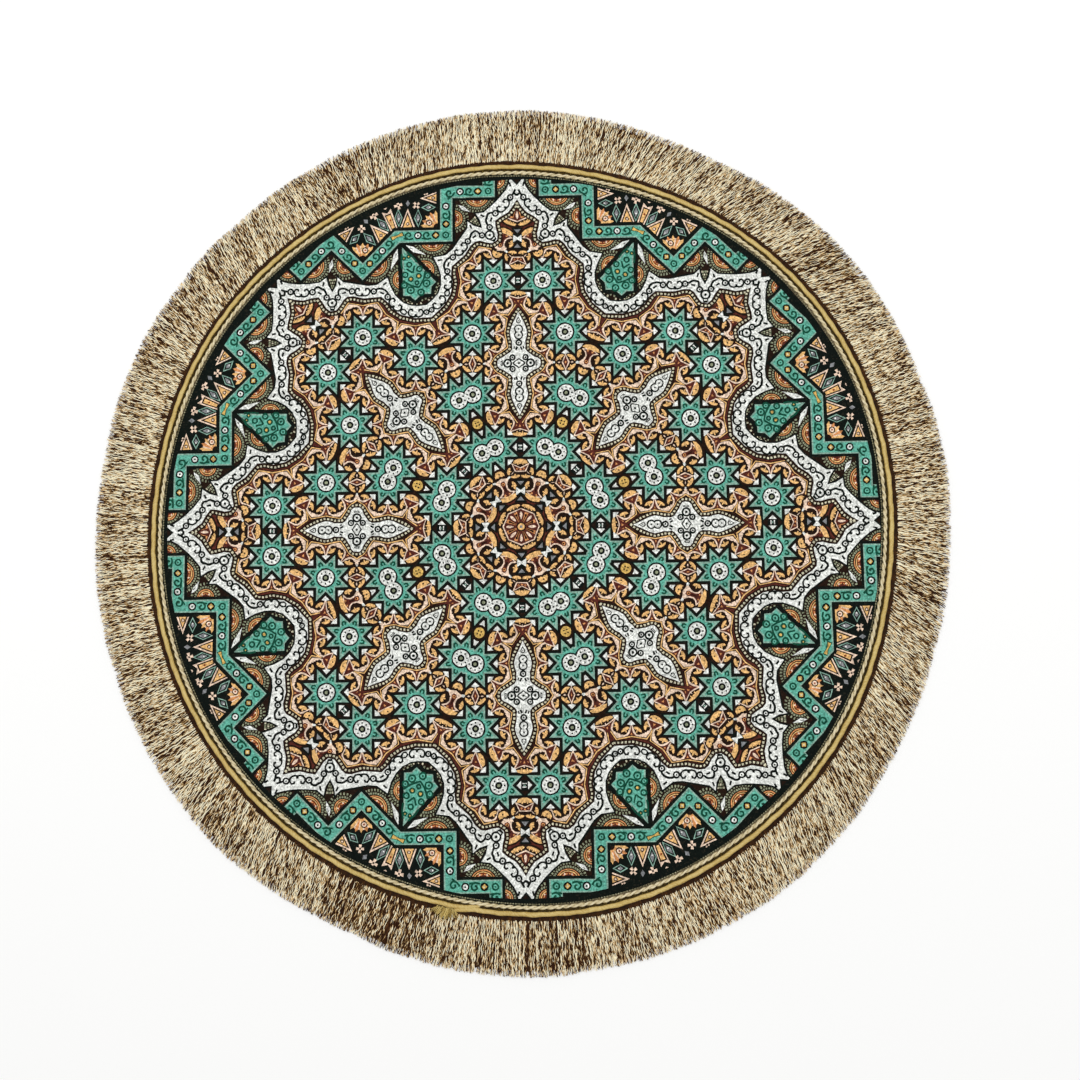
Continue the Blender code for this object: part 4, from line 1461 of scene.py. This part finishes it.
def makeFringe():
    mat = yarnMaterial("fringe_yarn", fringe, 0.85, 0.0, (100, 7.3, 0), 2.4)
    for n in range(8):
        makeFringeArc(n, mat)
    # yarn under the strands, made dark as painted shade under and between the strands
    steps, rows = 1440, 9
    angles = np.linspace(0, 360, steps, endpoint=False)
    verts = []
    for r in range(rows):
        share = r / (rows - 1)
        inner, outer = groove(angles) + fringe["shadeBed"]["root"], tips(angles) * fringe["shadeBed"]["reach"]
        uneven = rng.uniform(-fringe["ragged"], fringe["ragged"], steps) * share
        verts.append(placeAll(inner + (outer - inner) * share + uneven, angles, 0.0010 - 0.0006 * share))
    verts = np.stack(verts, axis=1).reshape(-1, 3)
    shadeBed = newPiece("fringe_shade_bed", verts.tolist(), ringFaces(steps, rows),
                   yarnMaterial("fringe_shade_bed", fringe["shadeBed"], 0.9, 0.05, (0, 0, 0), 0.1))
    setLay(shadeBed, rng.uniform(-0.1, 0.9, len(shadeBed.data.vertices)))
    flatMap(shadeBed)
    declare(shadeBed, "fringe")
    # the same strands as they show from below
    steps, rows = 2400, 5
    angles = np.linspace(0, 360, steps, endpoint=False)
    share = np.linspace(0, 1, rows)[None, :]
    inner = (groove(angles) + fringe["under"]["root"])[:, None]
    outer = (tips(angles) * fringe["under"]["reach"])[:, None]
    uneven = rng.uniform(-fringe["ragged"], fringe["ragged"], (steps, 1)) * share
    verts = placeAll(inner + (outer - inner) * share + uneven, angles[:, None] + 0 * share,
                     0.0005 - 0.0003 * share)
    faces = [(a, d, c, b) for a, b, c, d in ringFaces(steps, rows)]
    under = newPiece("fringe_underlay", verts.reshape(-1, 3).tolist(), faces,
                     yarnMaterial("fringe_underlay", fringe, 0.85, 0.0, (100, 7.3, 0), 1.4))
    tone = 0.42 + rng.uniform(-0.4, 0.4, (steps, 1)) + 0.15 * rng.uniform(-1, 1, (steps, rows))
    setLay(under, tone.ravel(), ((outer - inner) * share).ravel(), np.repeat(angles * 0.9, rows))
    flatMap(under)
    declare(under, "fringe")


looseThread = {
    "course": [(0.4428, 8.2), (0.4436, 9.2), (0.4432, 10.4), (0.4440, 11.0),   # radius and angle
               (0.4500, 11.3), (0.4580, 11.5), (0.4650, 11.8)],
    "halfWidth": 0.00035, "ridge": 0.0003, "low": 0.0046, "high": 0.0050,
    "light": (120, 84, 50), "mid": (62, 38, 18), "dark": (30, 16, 6),
}


def makeLooseThread():
    # one dark thread lies kinked over the fringe
    spec = looseThread
    course = smooth(spec["course"], 2)
    verts = []
    for r, a in course:
        da = math.degrees(spec["halfWidth"] / r)
        verts += [place(r, a - da, spec["low"]), place(r - spec["ridge"], a, spec["high"]),
                  place(r + spec["ridge"], a + da, spec["low"])]
    obj = newPiece("loose_thread", verts, strandFaces(0, len(course)),
                   yarnMaterial("loose_thread", spec, 0.75, 0.05, (0, 0, 0), 0.1))
    setLay(obj, np.full(len(verts), 0.3))
    declare(obj, "fringe")


makeCloth()
makeUnderside()
makeCords()
makeBraid()
makeWebAndHeading()
print("cords and braid sewn on")
makeTail()
makeFringe()
makeLooseThread()
print("fringe combed out")
